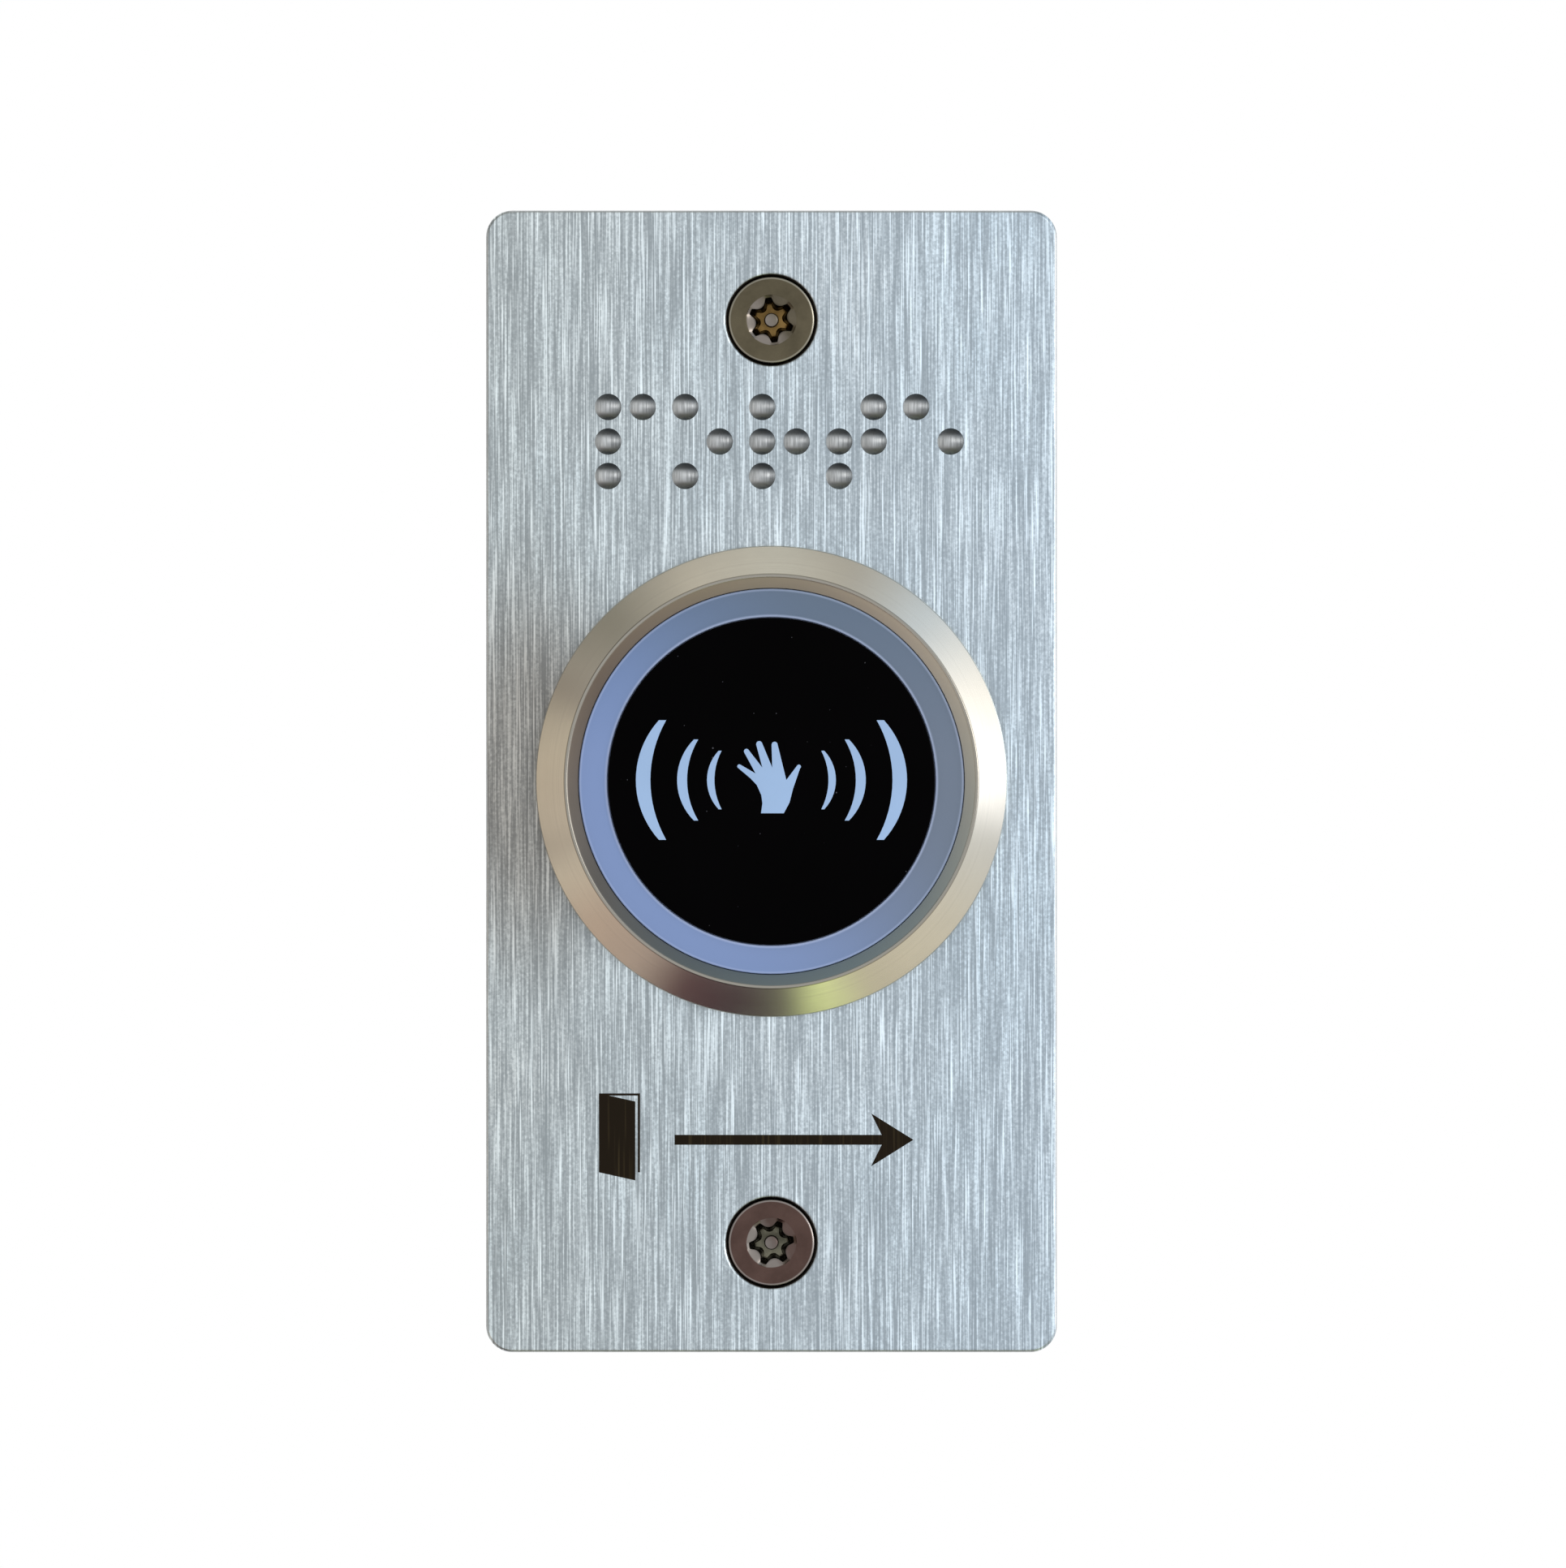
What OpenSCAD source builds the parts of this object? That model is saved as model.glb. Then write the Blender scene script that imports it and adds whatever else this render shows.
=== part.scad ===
// Touchless door-release button: a narrow stainless plate that carries a round infrared
// sensor head in a threaded metal barrel, with its boards, relay and adjusters behind.
// Every module is drawn in the plate's own frame: x to the right, y up, z towards the
// person using it, and z = 0 on the plate's back face. facing() turns that frame so
// that the plate stands upright with its back face on the plane y = 0, looking to -Y.

/* [Face plate] */
// Width of the plate
plate_w = 43; // [36:0.5:60]
// Height of the plate
plate_h = 86; // [82:0.5:130]
// Thickness of the plate
plate_t = 2; // [1.8:0.1:3]
// Radius of the plate's corners
plate_corner_r = 2; // [1:0.5:6]

/* [Fixing screws] */
// Distance between the two fixing screws
fixing_spacing = 69.5; // [64:0.5:76]
// Thread diameter of a fixing screw
fixing_screw_d = 3.5; // [2.9:0.1:4.2]
// Length of a fixing screw, head included
fixing_screw_len = 25; // [12:1:40]
// Diameter of the flat head
fixing_head_d = 6.5; // [5.6:0.1:7.8]
// Tip to tip size of the six-lobe recess
recess_d = 3.35; // [2.8:0.05:4]
// Diameter of the pin in the middle of the recess
recess_pin_d = 1; // [0.6:0.1:1.2]

/* [Braille] */
// Diameter of one dot
dot_d = 2; // [1.5:0.1:2.4]
// Height of one dot above the plate
dot_h = 0.6; // [0.4:0.05:0.8]
// Diameter of the shank that holds a dot in the plate
dot_shank_d = 1.2; // [0.8:0.1:1.4]
// Distance between dots in one cell
dot_pitch = 2.6; // [2.3:0.1:3.1]
// Distance between cells
cell_pitch = 5.8; // [5.4:0.1:7]

/* [Pictograms] */
// Depth of the engraving that the enamel fills
engraving_depth = 0.2; // [0.1:0.05:0.4]
// Length of the arrow
arrow_len = 18; // [12:0.5:24]
// Width of the door sign
door_w = 3.1; // [2.5:0.1:4]

/* [Sensor head] */
// Diameter of the black window
window_d = 24.6; // [24:0.1:30]
// Width of the light ring round the window
light_ring_w = 2.2; // [1.8:0.1:3]
// Width of the bezel's inner cone
inner_cone_w = 0.85; // [0.6:0.05:1.2]
// Width of the bezel's outer cone
outer_cone_w = 2.2; // [1.8:0.1:3]
// Height of the bezel above the plate
bezel_h = 2.6; // [2.2:0.1:3.5]
// Height of the bezel's upright edge
rim_h = 0.8; // [0.5:0.1:1.2]
// Wall of the threaded barrel
barrel_wall = 1.5; // [1.2:0.1:1.8]
// Thickness of the clamp nut
nut_t = 5; // [3:0.5:7]
// Depth of the rear cover behind the barrel
cover_len = 5.5; // [4.5:0.5:10]

/* [Electronics] */
// Thickness of a circuit board
board_t = 1.6; // [1:0.2:2]
// Length of the relay
relay_l = 15.5; // [13:0.1:18.6]
// Width of the relay
relay_w = 10.5; // [9:0.1:12.6]
// Height of the relay
relay_h = 11.5; // [10:0.1:16]
// Travel of the relay's armature, in degrees
armature_travel = 4; // [1:0.5:5]
// Diameter of the infrared emitter and receiver
optic_d = 3; // [2.5:0.1:3.6]
// Number of poles in the wiring header
header_poles = 6; // [3:1:6]
// Distance between header poles
header_pitch = 2.5; // [2:0.1:2.54]
// Side of the square range trimmer
trimmer_side = 6.5; // [5.5:0.1:7]

/* [Hidden] */
$fn = 64;

// Clearances
seat_gap = 0.05;      // round a piece that is set in a seat
panel_gap = 0.15;     // between the barrel and the hole in the plate
thread_gap = 0.02;    // between a screw and the thread that it is turned into
running_gap = 0.05;   // round a piece that turns or slides
slit = 0.01;          // how far a cut runs past the face that it opens

// Diameters of the head, from the window outwards
lens_d = window_d + 2 * light_ring_w;
lip_flat = 0.15;                   // width of the flat on the bezel's rim
lip_d = lens_d + 2 * seat_gap + 2 * inner_cone_w;
bezel_d = lip_d + 2 * lip_flat + 2 * outer_cone_w;
lens_seat = 1;                     // width of the step that carries the lens
barrel_bore_d = lens_d - 2 * lens_seat;
barrel_d = barrel_bore_d + 2 * barrel_wall;
nut_flats = barrel_d + 6;

// Levels along the depth
front_z = plate_t;
lip_z = front_z + bezel_h;
inner_cone_h = 0.8;
shoulder_z = front_z + 0.6;        // the step inside the bezel
seal_t = 0.3;                      // thickness of the flat seal under the lens
lens_z = lip_z - inner_cone_h - seat_gap;
window_t = 0.8;                    // thickness of the black window
window_proud = 0.25;               // how far it stands above the light ring
window_z = lens_z + window_proud;
window_floor = window_z - window_t;
cap_floor_t = 1.5;                 // thickness of the cap behind the window
cap_skirt_t = 1.3;                 // wall of the cap's light guide
cap_gap = 0.2;                     // round the cap inside the barrel
board_z = front_z - 6;             // front face of the sensor board
chip_z = board_z - board_t;        // its back face
board_d = barrel_bore_d - 0.6;
relay_room = 1.4;                  // between the relay and the sensor board
relay_board_front = chip_z - relay_room - relay_h;
relay_board_back = relay_board_front - board_t;
spigot_len = 0.9;                  // how far the rear cover reaches into the barrel
barrel_end = relay_board_back - spigot_len;
cover_end = barrel_end - cover_len;
cover_wall = 1.5;

// Fixing screws and their countersinks
fixing_z = fixing_spacing / 2;     // height of the upper screw above the middle
fixing_hole_d = fixing_screw_d + 0.4;
countersink_d = fixing_head_d + 0.6;
countersink_h = (countersink_d - fixing_hole_d) / 2;
head_rim = 0.15;                   // upright edge of the flat head
fixing_neck_d = fixing_screw_d - 0.45; // plain neck between the head and the thread
head_cone = (fixing_head_d - fixing_neck_d) / 2;
head_foot = front_z - head_rim - head_cone;
fixing_tip = front_z - fixing_screw_len;
recess_depth = 1.3;
pin_drop = 0.15;                   // how far the pin stays below the head's face

// Braille: the dots that are raised in each cell, numbered 1 to 3 down the left and 4 to 6
// down the right
cells = [[1, 2, 3, 4], [1, 3, 5], [1, 2, 3, 5], [2, 3, 4, 5], [1, 5]];
braille_left = -12.3;
braille_top = fixing_z - 6.55;

// Pictograms
door_left = -13;
door_top = -23.5;
door_h = 5.95;
door_leaf_w = door_w * 0.885;
door_swing = 0.61;                 // how far the open leaf drops below its frame
frame_line = 0.17;                 // width of the door frame's line
arrow_left = -7.3;
arrow_y = -27;
arrow_line = 0.75;
arrow_head = 2;                    // half the height of the arrow's head
arrow_head_len = 1.6 * arrow_head;
arrow_notch = 0.8;                 // how far the line reaches in between the barbs

// Waves: middle of each from the centre, its width there, half its height, and the radii
// of its outer and inner edge
waves = [
    [10.2, 1.09, 4.5, 6.7, 9.1],
    [7.1, 0.75, 3.05, 4.3, 5.95],
    [4.85, 0.56, 2.2, 3.2, 4.75]
];
symbol_y = 0.1;
// Fingers from the little finger to the thumb: middle of the tip, its radius, and the
// notch that follows
fingers = [
    [[-2.42, 1.03], 0.15, [-1.19, 0.49]],
    [[-1.88, 2.16], 0.19, [-0.68, 0.93]],
    [[-0.92, 2.7], 0.23, [0.06, 0.93]],
    [[0.24, 2.65], 0.23, [1.12, 0]],
    [[2.06, 1], 0.16, [1.61, -0.71]]
];
palm = [0.1, -0.3];                // the point that the fingers spread from
wrist = [
    [1.36, -1.7], [0.93, -2.5], [-0.78, -2.5], [-0.68, -1.75], [-0.76, -1.15], [-1.1, -0.38],
    [-1.57, 0.12]
];

// Optics
optic_x = 3.4;
optic_y = -5.9;
shroud_wall = 1;
led_count = 8;
led_orbit = board_d / 2 - 2.2;
led_size = [1.3, 2];
led_h = 0.8;

// Standoffs that join the two boards and take the cover's screws
standoff_x = board_d / 2 - 3.3;
standoff_flats = 3.6;
small_screw_d = 2;
small_head_d = 3.6;
small_head_h = 1.2;
small_hole_d = small_screw_d + 0.3;
small_grip = 4;                    // how far a small screw turns into a standoff
cross_size = [2, 0.5];             // length and width of one arm of its cross slot
cross_depth = 0.6;

// Pins that link the two boards
link_pins = 4;
link_pitch = 1.5;
link_x = -7.8;
link_y = 5.25;

// Adjusters and header behind the relay board
adjuster_h = 4.5;
adjuster_y = 4.6;
adjuster_x = 4.2;
rotor_d = trimmer_side - 2.1;
switch_side = 6.4;
slider_pitch = 2.54;
slider_w = 1.1;
slider_l = 1.4;
slider_travel = 1.6;
header_y = -6;
header_w = 5.8;
header_wall = 0.8;
header_h = 7;
header_l = (header_poles - 1) * header_pitch + 4.9;
pin_w = 0.64;
pin_hole_d = 1.1;

// Relay, with its length along x and heights counted from the top of its base
relay_base_t = 1.2;
relay_wall = 0.6;
relay_z = relay_board_front + relay_base_t;
relay_roof = relay_h - relay_base_t - relay_wall;
leg_x = 1.85 - relay_l / 2;
leg_t = 1;
knife_x = leg_x + leg_t;           // the edge that the armature tilts on
knife_h = relay_roof - 2.7;
yoke_foot_t = 0.9;
yoke_half_w = relay_w / 2 - 2.05;
armature_t = 0.9;
armature_z = knife_h + running_gap;
contact_x = relay_l / 2 - 2.25;
contact_d = 1.4;
spring_t = 0.15;
pole_d = 4.4;
pole_t = 0.5;
core_d = 2.8;
core_neck_d = 2;
pole_top = armature_z - (pole_d / 2 - knife_x) * tan(armature_travel) - running_gap;
bobbin_top = pole_top - pole_t;
bobbin_d = min(-2 * knife_x - 2.6, relay_w - 3.3);
bobbin_flange_t = 0.6;
moving_contact_z = armature_z + armature_t - 0.3;
moving_contact_h = spring_t + 0.6;
contact_drop = (contact_x + contact_d / 2 - knife_x) * tan(armature_travel);
relay_pin_d = 0.7;
coil_flange_gap = 0.3;             // how far the winding stays inside the bobbin's flanges
bobbin_wall = 0.4;
armature_side = 0.3;               // how far the armature's sides stay inside the yoke's
armature_back = 0.4;               // how far it reaches past the yoke's leg
armature_front = 0.8;              // and past the pole
leaf_w = 2.4;
leaf_start = -3;
leaf_tip = 0.7;                    // how far the leaf spring reaches past its contact
contact_t = 0.4;
post_size = [0.8, 2];              // post that carries the open contact
shut_arm_t = 0.3;
shut_arm = [2, 2];                 // arm that carries the shut contact
shut_leg_t = 0.45;
return_w = 3;
return_t = 0.2;
return_tail = 2.8;                 // how far the return spring runs down the yoke
return_stand = 0.8;                // how far it stands off behind the leg
return_lip_t = 0.15;
return_over = 0.2;                 // how far its lip lies above the armature
coil_pins = [for (side = [-1, 1]) [0.6 - relay_l / 2, side * 2.5]];
contact_pins = [for (side = [-1, 0, 1]) [relay_l / 2 - 1.15, side * (yoke_half_w + 0.4)]];

module facing() rotate([90, 0, 0]) children();

module pair(x, y = 0) for (side = [-1, 1]) translate([side * x, side * y, 0]) children();

module disc(d, z0, z1) translate([0, 0, z0]) cylinder(d = d, h = z1 - z0);

module tube(d_out, d_in, z0, z1) difference() {
    disc(d_out, z0, z1);
    disc(d_in, z0 - slit, z1 + slit);
}

module block(size, z0, z1) translate([-size[0] / 2, -size[1] / 2, z0]) cube([size[0], size[1], z1 - z0]);

module round_rect(w, h, r) {
    square([w - 2 * r, h], center = true);
    square([w, h - 2 * r], center = true);
    for (x = [-1, 1], y = [-1, 1]) translate([x * (w / 2 - r), y * (h / 2 - r)]) circle(r);
}

module cross_slot(z0, z1) for (a = [0, 90]) rotate(a) block(cross_size, z0, z1);

// --- Plate and its markings -------------------------------------------------

function dot_position(cell, dot) = [
    braille_left + cell * cell_pitch + (dot > 3 ? dot_pitch : 0),
    braille_top - ((dot - 1) % 3) * dot_pitch
];

module at_dots() for (c = [0 : len(cells) - 1], dot = cells[c]) translate(dot_position(c, dot)) children();

module at_fixings() for (side = [-1, 1]) translate([0, side * fixing_z, 0]) children();

module door_sign() translate([door_left, door_top]) {
    inside = door_w - frame_line;
    polygon([
        [0, 0], [door_w, 0], [door_w, -door_h], [inside, -door_h], [inside, -frame_line],
        [door_leaf_w * frame_line / door_swing, -frame_line], [door_leaf_w, -door_swing],
        [door_leaf_w, -door_h - door_swing], [0, -door_h]
    ]);
}

module arrow_sign() translate([arrow_left, arrow_y]) {
    half = arrow_line / 2;
    barb = arrow_len - arrow_head_len;
    neck = barb + arrow_notch;
    polygon([
        [0, -half], [neck, -half], [barb, -arrow_head], [arrow_len, 0],
        [barb, arrow_head], [neck, half], [0, half]
    ]);
}

module face_plate() color("silver") facing() difference() {
    linear_extrude(plate_t) round_rect(plate_w, plate_h, plate_corner_r);
    disc(barrel_d + 2 * panel_gap, -slit, plate_t + slit);
    at_fixings() disc(fixing_hole_d, -slit, plate_t + slit);
    at_fixings() translate([0, 0, plate_t - countersink_h])
        cylinder(d1 = fixing_hole_d, d2 = countersink_d, h = countersink_h + slit / 10);
    at_dots() disc(dot_shank_d + 2 * thread_gap, -slit, plate_t + slit);
    translate([0, 0, plate_t - engraving_depth]) linear_extrude(1) {
        door_sign();
        arrow_sign();
    }
}

module braille_pins() color("gainsboro") facing() at_dots() {
    disc(dot_shank_d, 0, front_z + slit);
    ball_r = (pow(dot_d / 2, 2) + dot_h * dot_h) / (2 * dot_h);
    intersection() {
        translate([0, 0, front_z + dot_h - ball_r]) sphere(ball_r);
        disc(2 * dot_d, front_z, front_z + 2 * dot_h);
    }
}

module door_pictogram() color("black") facing()
    translate([0, 0, plate_t - engraving_depth]) linear_extrude(engraving_depth) door_sign();

module arrow_pictogram() color("black") facing()
    translate([0, 0, plate_t - engraving_depth]) linear_extrude(engraving_depth) arrow_sign();

scallop_out = 0.53;                // how far out the recess's scallops lie, as a share of its width
scallop_r = 0.18;                  // and their radius

module six_lobe(d) difference() {
    circle(d = d);
    for (a = [30 : 60 : 330]) rotate(a) translate([d * scallop_out, 0]) circle(d * scallop_r);
}

module mounting_screws() color("dimgray") facing() at_fixings() difference() {
    union() {
        disc(fixing_screw_d, fixing_tip, 0);
        disc(fixing_neck_d, -fixing_screw_d, head_foot + slit);
        translate([0, 0, head_foot]) cylinder(d1 = fixing_neck_d, d2 = fixing_head_d, h = head_cone);
        disc(fixing_head_d, front_z - head_rim, front_z);
    }
    difference() {
        translate([0, 0, front_z - recess_depth]) linear_extrude(recess_depth + slit) six_lobe(recess_d);
        disc(recess_pin_d, front_z - recess_depth - slit, front_z - pin_drop);
    }
}

// --- Bezel, barrel and its nut ----------------------------------------------

seal_groove_r = (barrel_d + bezel_d) / 4;
seal_groove_w = 1.4;
seal_groove_h = 1;
seal_squeeze = 0.04;               // how far the groove's depth exceeds the seal's section
seat_d = lens_d + 2 * seat_gap;

module bezel_ring() color("tan") facing() rotate_extrude() difference() {
    polygon([
        [barrel_bore_d / 2, barrel_end], [barrel_d / 2, barrel_end], [barrel_d / 2, front_z],
        [bezel_d / 2, front_z], [bezel_d / 2, front_z + rim_h], [lip_d / 2 + lip_flat, lip_z],
        [lip_d / 2, lip_z], [seat_d / 2, lip_z - inner_cone_h], [seat_d / 2, shoulder_z],
        [barrel_bore_d / 2, shoulder_z]
    ]);
    translate([seal_groove_r - seal_groove_w / 2, front_z - slit])
        square([seal_groove_w, seal_groove_h + slit]);
}

module flange_seal() color("black") facing() rotate_extrude()
    translate([seal_groove_r, front_z + seal_groove_h / 2]) circle(d = seal_groove_h - seal_squeeze);

washer_t = 0.8;
washer_d = barrel_d + 5;
washer_notch_r = 1.3;
washer_notch_out = 0.4;            // how far outside the washer's edge the notches are centred

module lock_washer() color("silver") facing() difference() {
    tube(washer_d, barrel_d + 2 * panel_gap, -washer_t, 0);
    for (a = [0 : 30 : 330]) rotate(a) translate([washer_d / 2 + washer_notch_out, 0, 0])
        disc(2 * washer_notch_r, -washer_t - slit, slit);
}

module clamp_nut() color("silver") facing() difference() {
    translate([0, 0, -washer_t - nut_t]) rotate(30) cylinder(d = nut_flats / cos(30), h = nut_t, $fn = 6);
    disc(barrel_d + 2 * thread_gap, -washer_t - nut_t - slit, -washer_t + slit);
}

// --- Lens group --------------------------------------------------------------

module lens_seal() color("black") facing()
    tube(lens_d, barrel_bore_d, shoulder_z, shoulder_z + seal_t);

cap_body_d = barrel_bore_d - 2 * cap_gap;
sight_d = optic_d + 0.4;             // the holes that the optics look through

module diffuser_cap() color("lightsteelblue") facing() difference() {
    union() {
        disc(lens_d, shoulder_z + seal_t, lens_z);
        disc(cap_body_d, board_z, shoulder_z + seal_t + slit);
    }
    disc(window_d + 2 * seat_gap, window_floor, lens_z + slit);
    disc(cap_body_d - 2 * cap_skirt_t, board_z - slit, window_floor - cap_floor_t);
    pair(optic_x) translate([0, optic_y, 0])
        disc(sight_d, window_floor - cap_floor_t - slit, window_floor + slit);
}

module wave(mid, width, half_h, r_out, r_in) intersection() {
    difference() {
        translate([mid - r_out, 0]) circle(r_out);
        translate([mid - width - r_in, 0]) circle(r_in);
    }
    translate([0, -half_h]) square([mid + 1, 2 * half_h]);
}

module waves_2d() translate([0, symbol_y]) for (w = waves) {
    wave(w[0], w[1], w[2], w[3], w[4]);
    mirror([1, 0]) wave(w[0], w[1], w[2], w[3], w[4]);
}

// Goes round one fingertip, then down into the notch beside it
function finger(tip, r, notch) = let(lean = atan2(tip[1] - palm[1], tip[0] - palm[0])) concat(
    [for (t = [90 : -22.5 : -90]) tip + r * [cos(lean + t), sin(lean + t)]],
    [notch]
);

module hand_2d() translate([0, symbol_y])
    polygon(concat([for (f = fingers) each finger(f[0], f[1], f[2])], wrist));

module black_window() color("black") facing() difference() {
    disc(window_d, window_floor, window_z);
    translate([0, 0, window_floor - slit]) linear_extrude(window_t + 2 * slit) {
        waves_2d();
        hand_2d();
    }
}

module hand_symbol() color("lightblue") facing()
    translate([0, 0, window_floor]) linear_extrude(window_t) hand_2d();

module wave_symbols() color("lightblue") facing()
    translate([0, 0, window_floor]) linear_extrude(window_t) waves_2d();

// --- Sensor board and optics ------------------------------------------------

optic_top = window_floor - cap_floor_t - 0.2;
optic_lead_d = 0.5;
optic_lead_x = 0.65;               // half the distance between its two leads
lead_stub = 0.6;                   // how far a soldered lead stands out of the board
shroud_size = [2 * optic_x + optic_d + 2 * shroud_wall, optic_d + 2 * shroud_wall];

module optic_shroud() color("black") facing() difference() {
    translate([0, optic_y, 0]) block(shroud_size, board_z, optic_top);
    pair(optic_x) translate([0, optic_y, 0]) disc(optic_d + 2 * seat_gap, board_z - slit, optic_top + slit);
}

module optic() {
    disc(optic_d, board_z, optic_top - optic_d / 2);
    translate([0, 0, optic_top - optic_d / 2]) sphere(d = optic_d);
    pair(optic_lead_x) disc(optic_lead_d, chip_z - lead_stub, board_z + slit);
}

module ir_emitter() color("lavender") facing() translate([-optic_x, optic_y, 0]) optic();

module ir_receiver() color("darkslategray") facing() translate([optic_x, optic_y, 0]) optic();

module at_link_pins() for (i = [0 : link_pins - 1])
    translate([link_x, link_y + (i - (link_pins - 1) / 2) * link_pitch, 0]) children();

module at_leds() for (i = [0 : led_count - 1]) rotate((i + 0.5) * 360 / led_count)
    translate([led_orbit, 0, 0]) children();

module board_disc(z0, z1) difference() {
    disc(board_d, z0, z1);
    pair(standoff_x) disc(small_hole_d, z0 - slit, z1 + slit);
    at_link_pins() disc(pin_hole_d, z0 - slit, z1 + slit);
}

module sensor_board() color("darkgreen") facing() difference() {
    board_disc(chip_z, board_z);
    pair(optic_x) translate([0, optic_y, 0]) pair(optic_lead_x)
        disc(optic_lead_d + 0.2, chip_z - slit, board_z + slit);
}

module status_leds() color("white") facing() at_leds() block(led_size, board_z, board_z + led_h);

chip_size = [5, 4];
chip_h = 1.2;
chip_stand = 0.1;                  // how far the chip's body stands off the board
chip_lead = [1, 0.4];
chip_lead_x = 2.9;
chip_lead_h = 0.6;

module controller_chip() color("black") facing() {
    block(chip_size, chip_z - chip_h, chip_z - chip_stand);
    pair(chip_lead_x) for (y = [-1.5 : 1 : 1.5]) translate([0, y, 0])
        block(chip_lead, chip_z - chip_lead_h, chip_z);
}

// Places and turns of the resistors and capacitors round the chip
chip_parts = [
    [-5.5, 3.5, 0], [-5.5, 0.5, 0], [-5.5, -2.5, 0], [5.5, 3.5, 90], [5.5, -2.5, 90],
    [0, 4.5, 0], [0, -4.5, 0]
];
chip_part_size = [2, 1.2];
chip_part_h = 0.6;

module chip_components() color("peru") facing() for (p = chip_parts)
    translate([p[0], p[1], 0]) rotate(p[2]) block(chip_part_size, chip_z - chip_part_h, chip_z);

module board_screws() color("silver") facing() pair(standoff_x) difference() {
    union() {
        disc(small_head_d, board_z, board_z + small_head_h);
        disc(small_screw_d, chip_z - small_grip, board_z + slit);
    }
    cross_slot(board_z + small_head_h - cross_depth, board_z + small_head_h + slit);
}

module board_standoffs() color("goldenrod") facing() pair(standoff_x) difference() {
    translate([0, 0, relay_board_front]) rotate(30)
        cylinder(d = standoff_flats / cos(30), h = chip_z - relay_board_front, $fn = 6);
    disc(small_screw_d + 2 * thread_gap, relay_board_front - slit, chip_z + slit);
}

link_rail = [1.8, link_pins * link_pitch];
link_rail_h = 2;
link_tip = 0.8;                    // how far the pins stand out of the sensor board

module board_link_pins() color("gold") facing() {
    at_link_pins() block([pin_w, pin_w], relay_board_back, board_z + link_tip);
    difference() {
        translate([link_x, link_y, 0]) block(link_rail, relay_board_front, relay_board_front + link_rail_h);
        at_link_pins()
            block([pin_w, pin_w], relay_board_front - slit, relay_board_front + link_rail_h + slit);
    }
}

// --- Relay board and what stands on its front ---------------------------------

module at_relay_pins() rotate(90) for (p = concat(coil_pins, contact_pins))
    translate([p[0], p[1], 0]) children();

module at_header_pins() for (i = [0 : header_poles - 1])
    translate([(i - (header_poles - 1) / 2) * header_pitch, header_y, 0]) children();

module relay_board() color("darkgreen") facing() difference() {
    board_disc(relay_board_back, relay_board_front);
    at_relay_pins() disc(pin_hole_d, relay_board_back - slit, relay_board_front + slit);
    at_header_pins() disc(pin_hole_d, relay_board_back - slit, relay_board_front + slit);
}

module relay_base() color("navy") facing() difference() {
    rotate(90) block([relay_l, relay_w], relay_board_front, relay_z);
    at_relay_pins() disc(pin_hole_d, relay_board_front - slit, relay_z + slit);
}

module in_relay() facing() translate([0, 0, relay_z]) rotate(90) children();

module relay_cover() color("royalblue") in_relay() difference() {
    block([relay_l, relay_w], 0, relay_roof + relay_wall);
    block([relay_l - 2 * relay_wall, relay_w - 2 * relay_wall], -slit, relay_roof);
}

module relay_yoke() color("lightgray") in_relay() difference() {
    union() {
        translate([leg_x, -yoke_half_w, 0]) cube([pole_d - leg_x, 2 * yoke_half_w, yoke_foot_t]);
        translate([leg_x, -yoke_half_w, 0]) cube([leg_t, 2 * yoke_half_w, knife_h]);
    }
    disc(core_neck_d + 2 * thread_gap, -slit, yoke_foot_t + slit);
}

module relay_core() color("gray") in_relay() {
    disc(core_neck_d, 0, yoke_foot_t + slit);
    disc(core_d, yoke_foot_t, bobbin_top + slit);
    disc(pole_d, bobbin_top, pole_top);
}

module relay_bobbin() color("ivory") in_relay() {
    tube(bobbin_d, core_d + 2 * seat_gap, yoke_foot_t, yoke_foot_t + bobbin_flange_t);
    tube(bobbin_d, core_d + 2 * seat_gap, bobbin_top - bobbin_flange_t, bobbin_top);
    tube(core_d + 2 * seat_gap + 2 * bobbin_wall, core_d + 2 * seat_gap, yoke_foot_t, bobbin_top);
}

module relay_coil() color("chocolate") in_relay()
    tube(bobbin_d - 2 * coil_flange_gap, core_d + 4 * seat_gap + 2 * bobbin_wall,
        yoke_foot_t + bobbin_flange_t, bobbin_top - bobbin_flange_t);

module relay_armature() color("silver") in_relay()
    translate([leg_x - armature_back, armature_side - yoke_half_w, armature_z]) cube([
        pole_d / 2 + armature_front + armature_back - leg_x, 2 * (yoke_half_w - armature_side), armature_t
    ]);

module relay_contact_spring() color("orange") in_relay() {
    translate([leaf_start, -leaf_w / 2, armature_z + armature_t])
        cube([contact_x + leaf_tip - leaf_start, leaf_w, spring_t]);
    translate([contact_x, 0, 0]) disc(contact_d, moving_contact_z, moving_contact_z + moving_contact_h);
}

module relay_fixed_contacts() color("orange") in_relay() {
    open_top = moving_contact_z - contact_drop - running_gap;
    translate([contact_x, 0, 0]) {
        block(post_size, 0, open_top - contact_t + slit);
        disc(contact_d, open_top - contact_t, open_top);
    }
    shut_z = moving_contact_z + moving_contact_h + running_gap;
    arm_z = shut_z + contact_t;
    arm_end = contact_x + contact_d;
    translate([contact_x, 0, 0]) disc(contact_d, shut_z, arm_z + slit);
    translate([arm_end - shut_arm[0], -shut_arm[1] / 2, arm_z]) cube([shut_arm[0], shut_arm[1], shut_arm_t]);
    translate([arm_end - shut_leg_t, -shut_arm[1] / 2, 0])
        cube([shut_leg_t, shut_arm[1], arm_z + shut_arm_t]);
}

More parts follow.
